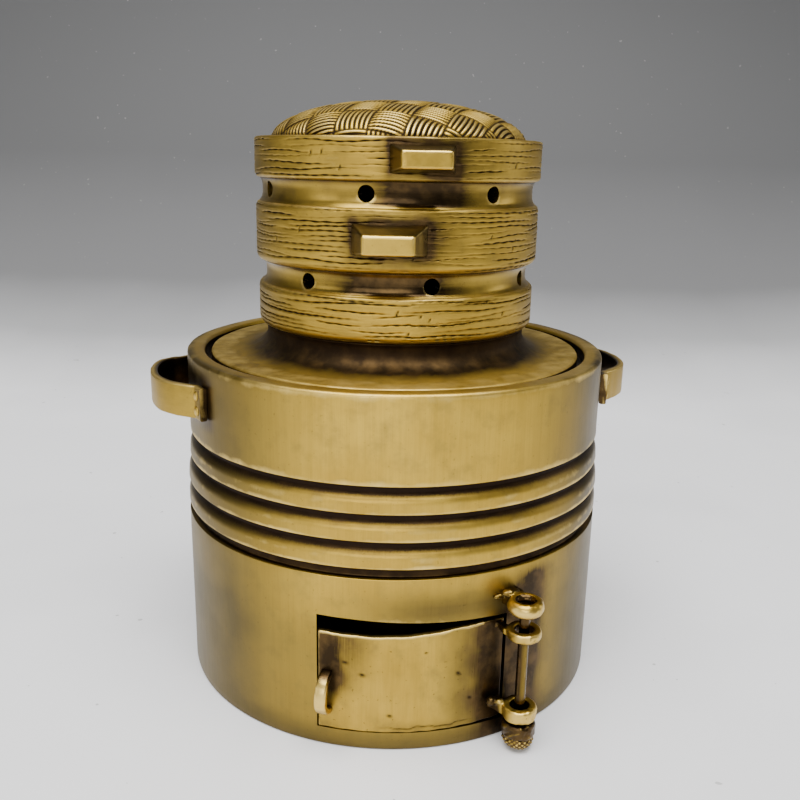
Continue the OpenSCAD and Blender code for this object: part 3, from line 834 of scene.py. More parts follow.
class StoveBuildHandles(StoveOperator):
    """Bends the two strap handles and sets their rivets"""
    bl_idname = "stove.build_handles"
    bl_label = "Handles"

    def build(self, context):
        made = finishes()
        low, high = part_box("left_handle")
        middle_z = (low[2] + high[2]) / 2 / MM
        half_high = (high[2] - low[2]) / 2 / MM
        tree = rivet_tree()
        for side, az, seed in (("left", HANDLE_AZ[0], 31), ("right", HANDLE_AZ[1], 37)):
            self.strap(side, az, seed, middle_z, half_high, made)
            self.rivets(side, az, middle_z, half_high, tree, made)

    def strap(self, side, az, seed, middle_z, half_high, made):
        """One strap, a little uneven, with painted shade on its inner side and darker at its feet.
        """
        plan = strap_path(1 if side == "left" else -1)
        angle = math.radians(az - 90)
        turn = np.array([[math.cos(angle), -math.sin(angle)], [math.sin(angle), math.cos(angle)]])
        ahead = np.gradient(plan, axis=0)
        ahead = ahead / np.linalg.norm(ahead, axis=1)[:, None]
        outward = np.stack([ahead[:, 1], -ahead[:, 0]], axis=1)
        outward = outward * np.sign((outward * plan).sum())
        place = plan @ turn.T
        side_dir = outward @ turn.T
        count = len(plan)
        path = np.column_stack([place, np.full(count, middle_z)])
        across = np.column_stack([side_dir, np.zeros(count)])
        up = np.tile([0.0, 0, 1], (count, 1))
        points, faces = sweep(path, across, up, 0.85, half_high, 0.45)
        strap = new_piece(f"{side.capitalize()}_strap", points, faces, made["Handle brass"])
        off = points[:, None, :2] - place[None, :, :]
        near = (off ** 2).sum(axis=2).argmin(axis=1)
        depth = ((points[:, :2] - place[near]) * side_dir[near]).sum(axis=1)
        inner = 1 - smooth(-0.85, 0.0, depth)
        share = near / (count - 1)
        foot = 1 - smooth(0.02, 0.16, np.minimum(share, 1 - share))
        end = np.minimum(share, 1 - share) < 0.003
        rim = smooth(half_high - 0.5, half_high - 0.15, points[:, 2] - middle_z)
        low_rim = smooth(half_high - 0.4, half_high, middle_z - points[:, 2])
        # Painted shade on the inner side, which faces the wall; darker at the feet and the cut
        # ends.
        patina = np.maximum.reduce([0.95 * inner, 0.3 * foot, 0.85 * end])
        edge = np.maximum(rim * smooth(-0.2, 0.5, depth), 0.4 * low_rim) * (1 - 0.8 * inner)
        paint(strap, patina, edge, shade=0.3 + 0.3 * foot)
        roughen(strap, 0.05, 2.5, seed)
        settle(strap, "stove", "handle_brass", f"{side}_handle")

    def rivets(self, side, az, middle_z, half_high, tree, made):
        """Two small peened heads on each foot."""
        spots = []
        for across in (-21.3, 21.3):
            for share in (-0.46, 0.46):
                a = math.radians(az + across)
                spots.append((RIVET_R * math.sin(a), -RIVET_R * math.cos(a),
                    middle_z + share * half_high))
        heads = new_piece(f"{side.capitalize()}_rivet_heads", spots, [], made["Handle brass"])
        run_tree(heads, tree, {"Head radius": 1.15 * MM, "Head height": 0.42,
            "Finish": made["Handle brass"]})
        points = mesh_points(heads)
        _, radius, _ = cylinder_coords(points)
        # Painted shade round the foot of each head, where it meets the strap, and a brighter crown.
        paint(heads, 1 - smooth(RIVET_R - 0.05, RIVET_R + 0.3, radius),
            0.7 * smooth(RIVET_R + 0.2, RIVET_R + 0.45, radius))
        settle(heads, "stove", "handle_brass", f"{side}_handle_rivets")


# ---- Fire door ----

LEAF_X = (-20.05, -8, 0, 6.5, 12, 19.74)
LEAF_TOP = (27.3, 27.0, 27.3, 28.0, 28.6, 28.8)
LEAF_BOTTOM = (4.28, 4.28, 4.3, 4.4, 4.55, 4.8)


class StoveBuildDoor(StoveOperator):
    """Shapes the curved door leaf with its wavy top, and the small ring pull"""
    bl_idname = "stove.build_door"
    bl_label = "Fire door"

    def build(self, context):
        made = finishes()
        self.leaf(made)
        self.pull(made)

    def leaf(self, made):
        """A thin curved plate, flush with the firebox."""
        columns = np.linspace(LEAF_X[0], LEAF_X[-1], 132)
        share = np.linspace(0, 1, 78)
        top = np.interp(columns, LEAF_X, LEAF_TOP)
        top = np.convolve(np.pad(top, 9, mode="edge"), np.ones(19) / 19, mode="valid")
        top = top + 0.05 * np.sin(columns * 0.9) + 0.02 * np.sin(columns * 3.1 + 1)
        low = np.interp(columns, LEAF_X, LEAF_BOTTOM) + 0.06 * np.sin(columns * 1.3)
        x = columns[:, None] + 0 * share[None, :]
        z = low[:, None] + (top - low)[:, None] * share[None, :]
        dent = ring_noise(x * 3, z, 40, 6, 51)
        outer = BODY_R + 0.02 + 0.05 * dent
        count, rows = x.shape
        front = np.stack([x, -np.sqrt(outer ** 2 - x ** 2), z], axis=-1).reshape(-1, 3)
        back = np.stack([x, -np.sqrt((BODY_R - 2) ** 2 - x ** 2), z], axis=-1).reshape(-1, 3)
        points = np.concatenate([front, back])
        quads = grid_faces(count, rows)
        size = count * rows
        faces = quads.tolist() + (quads[:, ::-1] + size).tolist()
        border = grid_border(count, rows)
        for a, b in zip(border, border[1:] + border[:1]):
            faces.append((b, a, a + size, b + size))
        leaf = new_piece("Fire_door_leaf", points, faces, made["Door brass"])
        bevel = leaf.modifiers.new("Edge", "BEVEL")
        bevel.width = 0.3 * MM
        bevel.segments = 3
        bevel.limit_method = "ANGLE"
        bevel.angle_limit = math.radians(55)
        apply_modifiers(leaf)
        self.paint_leaf(leaf, columns, top, low)
        settle(leaf, "door", "door_brass", "door_leaf")

    def paint_leaf(self, leaf, columns, top, low):
        """Dark film round the pull and the hinge, a bright top edge, and a few pits.

        Painted shade grows towards the hinge side and covers the back face.
        """
        points = mesh_points(leaf)
        x, z = points[:, 0], points[:, 2]
        _, radius, _ = cylinder_coords(points)
        front = radius > BODY_R - 0.5
        uneven = ring_noise(x * 3, z, 30, 5, 61)
        head = np.interp(x, columns, top)
        foot = np.interp(x, columns, low)
        left = 1.1 * bump_at(x, -20, 7.2) * (0.3 + 0.8 * smooth(9, 17, z)) * (1 + 0.15 * uneven)
        streak = 0.66 * bump_at(x, -13.8, 5.6) * smooth(12, 22, z)
        ring = 1.0 * np.exp(-((x + 16.6) / 2.6) ** 2 - ((z - 16.5) / 4.5) ** 2)
        right = np.maximum(0.4 * smooth(3, 11, x + 1.5 * uneven),
            1.05 * smooth(7, 17.5, x + 0.8 * uneven))
        low_side = 0.45 * bump_at(z, foot, 3) * smooth(-14, -2, x)
        patina = np.maximum.reduce([left, streak, ring, right, low_side])
        # The back face is painted dark as shade.
        patina = np.where(front, patina, 0.95)
        pits = np.zeros(len(points))
        for px, pz, wide, high in ((-14.5, 20.6, 0.55, 0.35), (-10.9, 18.0, 0.6, 0.4),
                (9.7, 17.6, 0.45, 0.5), (-5, 8.4, 0.5, 0.35), (12.5, 11.2, 0.35, 0.35),
                (2.5, 23.4, 0.3, 0.2)):
            blob = np.exp(-(((x - px + 0.5 * (z - pz)) / wide) ** 2 + ((z - pz) / high) ** 2))
            pits = np.maximum(pits, blob)
        seam = foot + 1.1 + 0.25 * np.sin(x * 0.7) + 0.12 * np.sin(x * 2.1)
        crack = smooth(-9, -2, x) * (1 - smooth(9, 15, x)) * bump_at(z, seam, 0.16) * 0.8
        edge = np.maximum(0.95 * bump_at(z, head, 0.42), 0.5 * bump_at(x, LEAF_X[0], 0.3))
        edge = np.maximum(edge, 0.4 * bump_at(z, foot, 0.25) * (x < 0))
        edge = edge * front * (1 - 0.7 * (x > 15))
        # Painted shade, growing towards the hinge side.
        shade_level = np.maximum(0.7 * smooth(1, 13, x), 0.12) + 0.12 * uneven
        paint(leaf, patina, edge, shade=shade_level * front, crack=np.maximum(pits * 1.1, crack) * front)
        normals = points.copy()
        normals[:, 2] = 0
        normals = normals / np.linalg.norm(normals, axis=1)[:, None]
        move_points(leaf, points - normals * (0.22 * np.maximum(pits, crack) * front)[:, None])

    def pull(self, made):
        """The outer arc of a ring that stands on edge."""
        az = math.radians(PULL_AZ)
        out = np.array([math.sin(az), -math.cos(az), 0])
        along = np.array([math.cos(az), math.sin(az), 0])
        up = np.array([0, 0, 1])
        turns = np.radians(np.linspace(-97, 97, 45))
        away = np.array([out * math.cos(t) + up * math.sin(t) for t in turns])
        path = out * PULL_OUT + up * PULL_Z + away * PULL_R
        sides = np.tile(along, (len(path), 1))
        points, faces = sweep(path, away, sides, 0.78, 1.25, 0.5, per_corner=5)
        pull = new_piece("Fire_door_pull", points, faces, made["Polished brass"])
        points = mesh_points(pull)
        _, radius, height = cylinder_coords(points)
        reach = np.hypot(radius - PULL_OUT, height - PULL_Z)
        # Painted shade inside the ring and against the leaf, a painted shadow over its top, and a
        # worn bright outer face.
        patina = np.maximum(1 - smooth(3.6, 4.3, reach), 0.85 * smooth(2.4, 4.6, height - PULL_Z))
        patina = np.maximum(patina, 0.8 * (1 - smooth(50.1, 51.2, radius)))
        dimple = np.exp(-((height - 10.7) / 0.5) ** 2) * (radius > 52.9)
        paint(pull, patina, 0.9 * smooth(4.5, 5.1, reach) * (1 - patina), crack=0.35 * dimple)
        roughen(pull, 0.09, 1.8, 71)
        settle(pull, "door", "polished_brass", "door_pull")


# ---- Hinge ----

def about_pin(points):
    """Moves points drawn with the pin's axis at the origin and -Y outwards into place."""
    points = np.asarray(points, float)
    a = math.radians(HINGE_AZ)
    x = points[:, 0] * math.cos(a) - (points[:, 1] - HINGE_R) * math.sin(a)
    y = points[:, 0] * math.sin(a) + (points[:, 1] - HINGE_R) * math.cos(a)
    return np.column_stack([x, y, points[:, 2]])


def from_pin(points):
    """The reverse of about_pin: points with the pin's axis at the origin."""
    a = math.radians(HINGE_AZ)
    x = points[:, 0] * math.cos(a) + points[:, 1] * math.sin(a)
    y = -points[:, 0] * math.sin(a) + points[:, 1] * math.cos(a) + HINGE_R
    return np.column_stack([x, y, points[:, 2]])


def pin_coords(obj):
    """A piece's points about the pin, their distance from it and their azimuth round it."""
    local = from_pin(mesh_points(obj))
    side = np.degrees(np.arctan2(local[:, 0], -local[:, 1]))
    return local, np.hypot(local[:, 0], local[:, 1]), side


def pin_lathe(corners):
    """A turned part on the pin's axis."""
    profile = outline(corners, 0.4)
    around = 64
    points = to_points(*lathe_grid(profile, around))
    return about_pin(points), ring_faces(around, len(profile)).tolist()


def pin_prism(plan, low, high):
    """A block drawn about the pin's axis."""
    points, faces = prism(plan, low, high)
    return about_pin(points), faces


def lump(x, y, z, rx, ry, rz):
    """A small rounded lump of cast metal near the pin."""
    around, rows = 20, 10
    points = []
    for i in range(rows + 1):
        t = math.pi * i / rows
        for j in range(around):
            a = 2 * math.pi * j / around
            points.append((x + rx * math.sin(t) * math.cos(a), y + ry * math.sin(t) * math.sin(a),
                z + rz * math.cos(t)))
    faces = []
    for i in range(rows):
        for j in range(around):
            k = (j + 1) % around
            faces.append((i * around + j, i * around + k, (i + 1) * around + k,
                (i + 1) * around + j))
    return about_pin(points), faces


def knurl(azimuth, height):
    """Relief, from 0 to 1, of the diamonds on the finial."""
    a = np.radians(azimuth * 9)
    return np.abs(np.sin(a + height * 3.2)) * np.abs(np.sin(a - height * 3.2))


class StoveBuildHinge(StoveOperator):
    """Casts the hinge: its bead eye, the leaf's rings, the lower lug, the pin and the finial"""
    bl_idname = "stove.build_hinge"
    bl_label = "Hinge"

    def build(self, context):
        made = finishes()
        self.eye(made)
        self.lug(made)
        self.knuckle("Leaf_ring_upper", 25.6, 81, made, "upper_knuckle")
        self.knuckle("Leaf_ring_lower", 7.4, 87, made, "lower_knuckle")
        self.pin(made)
        self.finial(made)

    def eye(self, made):
        """A fat bead with an open hole, tied to the wall by a rough lump."""
        turns = [math.radians(t) for t in range(0, 360, 12)]
        ring_r, half_wide, half_high, centre = 2.66, 1.24, 1.55, 33.9
        bead = pin_lathe([(ring_r + half_wide * math.cos(t), centre + half_high * math.sin(t), 0)
            for t in turns])
        neck = pin_prism([(-2, 3.2), (2, 3.2), (2, 6.2), (-2, 6.2)], 32.4, 35.4)
        scar = lump(-0.8, 4.4, 35.3, 2.2, 1.4, 0.9)
        spill = lump(-3.0, 5.2, 34.5, 1.5, 0.8, 0.6)
        eye = melt_parts("Hinge_bead_eye", [bead, neck, scar, spill], made["Polished brass"], 3)
        shift = roughen(eye, 0.06, 1.3, 91)
        local, reach, _ = pin_coords(eye)
        # Painted shade in the hole, low on the bead and towards the wall; dark film on the lump.
        hole = (reach < 2.25) & (local[:, 2] > 31.6)
        scarred = smooth(1.5, 3.4, local[:, 1]) * (reach > 3.2)
        low = 1 - smooth(31.2, 32.6, local[:, 2])
        pits = (shift > 1.0) * (local[:, 0] < 0.5) * 0.8
        patina = np.maximum.reduce([hole, 0.75 * scarred, 0.75 * low,
            0.5 * smooth(3, 5, local[:, 1])])
        bright = bump_at(local[:, 2], 34.0, 1.2) * smooth(2.6, 3.6, reach) * (local[:, 1] < 1)
        edge = 0.8 * bright * (1 - patina) + 0.35 * scarred * (shift > 0.4)
        paint(eye, patina, edge, crack=pits)
        settle(eye, "stove", "polished_brass", "upper_hinge_eye")

    def knuckle(self, name, low, seed, made, cad_node):
        """A flat ring with an arm that lies on the leaf."""
        upper = low > 10
        foot = low + (1.0 if upper else 0)
        top = low + 3.1
        corners = [(1.95, foot, 0.25), (3.6, foot, 0.5), (3.75, top, 0.6), (2.05, top, 0.35)]
        ring = pin_lathe(corners)
        arm_end = 4.0 if upper else 4.9
        arm = pin_prism([(-1.3, 6.3), (-1.6, 2.6), (-2.9, 0.6), (-3.5, 2.6), (1 - arm_end, 5.0),
            (-arm_end, 6.6)], foot + 0.3, low + 2.6)
        parts = [ring, arm]
        if not upper:
            parts.append(lump(-4.2, 4.3, low + 2.6, 1.4, 1.2, 1.0))
            parts.append(lump(-3.2, 3.0, low + 3.0, 1.0, 0.9, 0.6))
        piece = melt_parts(name, parts, made["Cast brass"], 3)
        shift = roughen(piece, 0.07 if upper else 0.1, 1.2, seed)
        local, reach, _ = pin_coords(piece)
        # Painted shade in the bore, under the ring, over the arm and towards the wall.
        arm_side = (1 - smooth(-4.6, -2.6, local[:, 0])) * (1.0 if upper else 0.8)
        bore = 1 - smooth(1.95, 2.3, reach)
        under = 1 - smooth(foot + 0.1, foot + 0.7, local[:, 2])
        patina = np.maximum.reduce([bore, 0.7 * under, arm_side, 0.8 * smooth(1, 3.5, local[:, 1])])
        rim = smooth(low + 2.4, low + 2.95, local[:, 2]) * smooth(3.1, 3.6, reach)
        outer = 0.6 * smooth(3.3, 3.7, reach) * (local[:, 1] < 1)
        paint(piece, patina, np.maximum(rim, outer) * (1 - patina), crack=0.7 * (shift > 1.15))
        settle(piece, "door", "hinge_brass", cad_node)

    def lug(self, made):
        """The rough lower ring of the firebox."""
        ring = pin_lathe([(1.2, 3.3, 0.1), (3.6, 3.3, 0.7), (3.75, 6.7, 0.7), (1.2, 6.7, 0.1)])
        block = pin_prism([(-0.3, 1.5), (3.0, 1.0), (3.2, 6.2), (-0.3, 6.2)], 3.4, 6.6)
        lug = melt_parts("Hinge_lower_lug", [ring, block], made["Cast brass"], 2)
        shift = roughen(lug, 0.14, 1.0, 95)
        height = mesh_points(lug)[:, 2]
        # Dark cast skin, with painted shade on the top face under the lower ring.
        paint(lug, 0.85 - 0.35 * np.clip(shift, 0, 1), 0.5 * (shift > 0.75),
            crack=0.5 * (height > 6.5))
        settle(lug, "stove", "hinge_brass", "lower_hinge_lug")

    def pin(self, made):
        """The drawn rod that the door turns on."""
        profile = outline([(0, 1.4, 0), (1.15, 1.4, 0.2), (1.15, 33.3, 0.3), (0, 33.3, 0)], 0.8)
        around = 40
        azimuth, radius, height = lathe_grid(profile, around)
        radius = radius * (1 + 0.02 * ring_noise(azimuth, height, 5, 4, 15))
        points = about_pin(to_points(azimuth, radius, height))
        faces = ring_faces(around, len(profile))
        pin = new_piece("Hinge_rod", points, faces, made["Tarnished pin"], weld=True)
        local, _, side = pin_coords(pin)
        # Tarnish, lighter on the lit side between the rings, with a thin painted highlight down it.
        bare = smooth(10, 14, local[:, 2]) * (1 - smooth(24, 27, local[:, 2]))
        wear_and_highlight = bump_at(side, -8, 34) * bare
        paint(pin, 0.9 - 0.5 * wear_and_highlight, 0.3 * wear_and_highlight * bump_at(side, 2, 12), shade=0.5)
        settle(pin, "stove", "pin_bronze", "hinge_pin")

    def finial(self, made):
        """A rough acorn with a knurled skin."""
        profile = outline([(0, 0.4, 0), (1.3, 0.4, 0.4), (2.5, 0.9, 0.4), (3.25, 1.7, 0.5),
            (3.45, 2.5, 0.4), (3.1, 3.4, 0.3), (0, 3.4, 0)], 0.22)
        around = 120
        azimuth, radius, height = lathe_grid(profile, around)
        relief = (knurl(azimuth, height) - 0.6) * 0.22
        radius = radius + relief * smooth(1.0, 2.0, radius) * (height < 3.2)
        points = about_pin(to_points(azimuth, radius, height))
        faces = ring_faces(around, len(profile))
        finial = new_piece("Hinge_acorn", points, faces, made["Cast brass"], weld=True)
        shift = roughen(finial, 0.08, 0.9, 99)
        local, reach, side = pin_coords(finial)
        high = knurl(side, local[:, 2])
        edge = 0.7 * smooth(0.55, 0.9, high) * (reach > 2) * (shift > -0.3)
        paint(finial, 0.9 - 0.5 * high, edge)
        settle(finial, "stove", "hinge_brass", "hinge_finial")


# ---- Cowl ----

def hollow_film(azimuth, centre, wide, seed):
    """Uneven dark film that is strongest round a middle azimuth."""
    off = turned(azimuth - centre)
    uneven = ring_noise(azimuth, 0 * azimuth, 16, 5, seed)
    return (1 - smooth(0.1, 1.5, np.abs(off) / wide)) * (0.97 + 0.12 * uneven)


class StoveBuildPlate(StoveOperator):
    """Turns the loose top plate with its hollow neck"""
    bl_idname = "stove.build_plate"
    bl_label = "Top plate"

    def build(self, context):
        made = finishes()
        rise = 4.4
        slopes = [math.radians(t) for t in range(0, 91, 7)]
        flare = [(38.2 - 7.5 * math.sin(t), PLATE_TOP + rise * (1 - math.cos(t)), 0)
            for t in slopes]
        corners = [(27.5, 76, 0.3), (44.1, 76, 0.4), (44.1, PLATE_TOP, 0.6)] + flare
        corners += [(30.75, 84.4, 0), (31.0, 85.0, 0), (31.5, 85.5, 0.2), (29.1, 85.5, 0),
            (29.1, 87.7, 0.4), (27.5, 87.7, 0.4)]
        profile = outline(corners, 0.9)
        azimuth, radius, height = lathe_grid(profile, COWL_AROUND)
        uneven = ring_noise(azimuth, radius, 26, 4, 103)
        upper = (height > 79) & (height < 85)
        height = height + np.where(upper, 0.07 * uneven, 0)
        nicks = np.clip(ring_noise(azimuth, height, 60, 4, 105), 0, 1)
        radius = radius - np.where(radius > 43.6, 0.12 * nicks, 0)
        points = to_points(azimuth, radius, height, COWL)
        faces = ring_faces(COWL_AROUND, len(profile))
        plate = new_piece("Cowl_plate", points, faces, made["Plate brass"])
        azimuth, radius, height = cylinder_coords(mesh_points(plate), COWL)
        uneven = ring_noise(azimuth, radius, 24, 5, 107)
        # Dark film round the neck, strongest at the front; painted shadow on the neck under the
        # lowest band, and painted shade on the plate's underside.
        front = 0.62 + 0.38 * np.cos(np.radians(azimuth))
        neck = 1 - smooth(33.0, 39.6, radius + 0.5 * uneven + 0.6 * np.cos(np.radians(azimuth)))
        under = smooth(81, 84, height)
        patina = np.maximum.reduce([1.05 * neck * front, 0.08 + 0.1 * uneven, 1.2 * under,
            0.95 * (height < 78.8), 0.3 * smooth(42.6, 44.2, radius) * (uneven > -0.2)])
        # Worn bright rim, and a pale painted sheen over the flat top.
        edge = 0.6 * smooth(43.4, 44.1, radius) * (0.6 + 0.6 * uneven)
        edge = np.maximum(edge, (0.42 + 0.15 * uneven) * smooth(36, 40, radius)) * (height > 78.7)
        # Painted shade, growing towards the sides and the back.
        shade = 0.1 + 0.35 * smooth(10, 70, np.abs(turned(azimuth - 15))) + 0.12 * uneven
        paint(plate, patina, edge, shade=shade * (height > 78.8),
            crack=0.65 * smooth(80.6, 83.6, height))
        settle(plate, "cowl", "plate_brass", "top_plate")


def grain(azimuth, height, low, high, seed, depth):
    """Depth in millimetres of the wavy tapered cracks, and a few ticks, of carved bamboo grain."""
    rng = np.random.default_rng(seed)
    cut = np.zeros((len(azimuth), len(height)))
    tracks = int((high - low) / 1.02)
    for track in range(tracks):
        base = low + (track + 0.5) * (high - low) / tracks
        at = rng.uniform(0, 360)
        left = 360.0
        while left > 6:
            length = min(left, rng.uniform(16, 80))
            middle = at + length / 2
            off = turned(azimuth - middle)
            inside = np.abs(off) < length / 2
            t = off[inside] / (length / 2)
            a = np.radians(azimuth[inside])
            place = base + rng.uniform(-0.32, 0.32) + rng.uniform(-0.35, 0.35) * t
            for sway, waves in (((0.05, 0.22), (5, 12)), ((0.02, 0.06), (30, 60))):
                swing = rng.uniform(*sway)
                place = place + swing * np.sin(a * rng.uniform(*waves) + rng.uniform(0, 6))
            taper = np.clip(1 - np.abs(t) ** 2.5, 0, 1)
            strength = depth * rng.choice([0.45, 0.7, 1.0, 1.15], p=[0.15, 0.3, 0.35, 0.2])
            beads = 0.75 + 0.25 * np.sin(a * rng.uniform(70, 110) + rng.uniform(0, 6))
            wide = rng.uniform(0.1, 0.16) * (0.6 + 0.5 * strength / depth)
            line = np.exp(-((height[None, :] - place[:, None]) / wide) ** 2)
            cut[inside] = np.maximum(cut[inside], line * (strength * taper * beads)[:, None])
            step = length + rng.uniform(0.5, 9)
            at += step
            left -= step
    for _ in range(14):
        middle = rng.uniform(-180, 180)
        base = rng.uniform(low + 1, high - 1)
        off = np.radians(turned(azimuth - middle)) * BAND_R
        near = np.abs(off) < 1.2
        tick = np.exp(-((off[near, None] - 0.3 * (height[None, :] - base)) / 0.16) ** 2)
        tick = tick * np.exp(-((height[None, :] - base) / rng.uniform(0.3, 0.7)) ** 4)
        cut[near] = np.maximum(cut[near], 0.7 * depth * tick)
    return cut


def band_outline(radius, low, high, inner, round_low, round_high):
    """Outline of a band whose outer side is cut in fine rows.

    inner lists the rest of its corners, from the top downwards.
    """
    arc = np.radians(np.linspace(-90, 0, 10))
    bottom = np.column_stack([radius - round_low + round_low * np.cos(arc),
        low + round_low + round_low * np.sin(arc)])
    row = 0.14
    rows = np.arange(low + round_low + row, high - round_high, row)
    side = np.column_stack([np.full(len(rows), radius), rows])
    arc = np.radians(np.linspace(0, 90, 8))
    top = np.column_stack([radius - round_high + round_high * np.cos(arc),
        high - round_high + round_high * np.sin(arc)])
    return np.concatenate([bottom, side, top, np.array(inner, float)])


def build_band(name, radius, low, high, inner, seed, clip, material, body, cad_node, rounds):
    """A wide band with carved grain; its film gathers round the clip.

    Painted shade lies on its sides, along its foot and inside it.
    """
    profile = band_outline(radius, low, high, inner, *rounds)
    azimuth, ring, height = lathe_grid(profile, BAND_AROUND)
    depth = sizes()["grain_depth"]
    cut = grain(azimuth[:, 0], profile[:, 1], low + 0.4, high - 0.3, seed, depth)
    outer = ring > radius - 0.8
    cut = cut * outer
    strips = ring_noise(azimuth, height, 14, 1.15, seed + 5)
    swell = ring_noise(azimuth, height, 30, 6, seed + 7)
    crest = (profile[:, 1] > high - 0.8) & (profile[:, 0] > radius - 1.2)
    ring = ring - cut + outer * (0.03 * strips + 0.04 * swell)
    nicks = np.clip(ring_noise(azimuth, height, 80, 4, seed + 9), 0, 1)
    height = height - crest[None, :] * 0.08 * nicks
    points = to_points(azimuth, ring, height, COWL)
    band = new_piece(name, points, ring_faces(BAND_AROUND, len(profile)), material)
    crack = np.clip(cut / depth * 1.7, 0, 1)
    darkening = 0.98 * near_clip(azimuth, height, clip, 3.6) if clip else 0 * azimuth
    darkening = darkening * (0.92 + 0.3 * swell)
    # Painted shade along the band's foot and on its inner face.
    under = 1 - smooth(low, low + 0.7, height)
    inside = 1 - smooth(radius - 1.7, radius - 1.2, ring)
    specks = 0.1 * np.clip(ring_noise(azimuth, height, 20, 3, seed + 11) + 0.1, 0, 1)
    inside = inside * (height < high - 0.1)
    patina = np.maximum.reduce([0.95 * darkening, 0.5 * under, 0.9 * inside, specks])
    edge = 0.6 * smooth(high - 1.0, high - 0.2, height) * (1 - 0.75 * darkening)
    edge = np.maximum(edge, 0.35 * bump_at(height, low + 0.5, 0.4) * (1 - 0.8 * darkening))
    edge = np.maximum(edge * (0.8 + 0.5 * swell), 0.25 * np.clip(strips, 0, 1) * outer * (1 - darkening))
    # Painted shade, growing towards the sides and round the clip.
    shade_level = 0.12 + 0.15 * swell + 0.35 * smooth(50, 85, np.abs(turned(azimuth))) + 0.25 * darkening
    paint(band, patina.ravel(), edge.ravel(), shade=shade_level.ravel(), crack=crack.ravel())
    settle(band, body, "basket_brass", cad_node)


def vent_tree():
    """Geometry nodes that drill a row of round vents through a turned neck.

    The row is even at the front, and those at the back drift round it by up to an angle.
    """
    tree, given = new_tree("Vent row", "Neck", "Vented neck", (("Vent radius", "Float", 1.75 * MM),
        ("Vents", "Int", 7), ("Row radius", "Float", VENT_ROW_R * MM),
        ("Row centre", "Vector", None), ("First vent", "Vector", None), ("Drift", "Float", None)))
    circle = node(tree, "GeometryNodeMeshCircle", {"Vertices": given["Vents"],
        "Radius": given["Row radius"]})
    place = node(tree, "GeometryNodeInputPosition").outputs[0]
    index = node(tree, "GeometryNodeInputIndex").outputs[0]
    turn = math_node(tree, "DIVIDE", math_node(tree, "MULTIPLY", index, math.pi), given["Vents"])
    share = math_node(tree, "POWER", math_node(tree, "SINE", turn), 4.0)
    angle = math_node(tree, "MULTIPLY", share, given["Drift"])
    drifted = node(tree, "ShaderNodeVectorRotate", {"Vector": place, "Angle": angle},
        rotation_type="Z_AXIS")
    marked = node(tree, "GeometryNodeSetPosition", {"Geometry": circle.outputs[0],
        "Position": drifted.outputs[0]})
    aim = node(tree, "FunctionNodeAlignRotationToVector", {"Vector": place}, axis="Z")
    drill = node(tree, "GeometryNodeMeshCylinder", {"Vertices": 40, "Radius": given["Vent radius"],
        "Depth": 9 * MM})
    drills = node(tree, "GeometryNodeInstanceOnPoints", {"Points": marked.outputs[0],
        "Instance": drill.outputs["Mesh"], "Rotation": aim.outputs[0]})
    solid = node(tree, "GeometryNodeRealizeInstances", {"Geometry": drills.outputs[0]})
    moved = node(tree, "GeometryNodeTransform", {"Geometry": solid.outputs[0],
        "Translation": given["Row centre"], "Rotation": given["First vent"]})
    drilled = node(tree, "GeometryNodeMeshBoolean", {"Mesh 1": given["Neck"],
        "Mesh 2": moved.outputs[0]}, operation="DIFFERENCE", solver="MANIFOLD")
    done = node(tree, "GeometryNodeSetMaterial", {"Geometry": drilled.outputs[0],
        "Material": given["Finish"]})
    node(tree, "NodeGroupOutput", {"Vented neck": done.outputs[0]})
    return tree


# Each stretch of film on a neck is given as its middle azimuth, half its width and its strength.
BASKETS = {
    "low": dict(radius=32.5, low=85.5, high=95.4, waist=30.7, next=100.2, vent_z=97.6, vent_az=8.1,
        drift=0.0, seed=211, body="cowl", clip=None, darkening=((-7, 36, 1.1), (52, 24, 0.4)),
        node="low_basket"),
    "middle": dict(radius=32.9, low=100.2, high=113.5, waist=31.3, next=118.6, vent_z=116.2,
        vent_az=-17.6, drift=-5.6, seed=307, body="middle_tier", clip=MIDDLE_CLIP,
        darkening=((3, 25, 1.12), (-30, 10, 0.3)), node="middle_basket"),
}


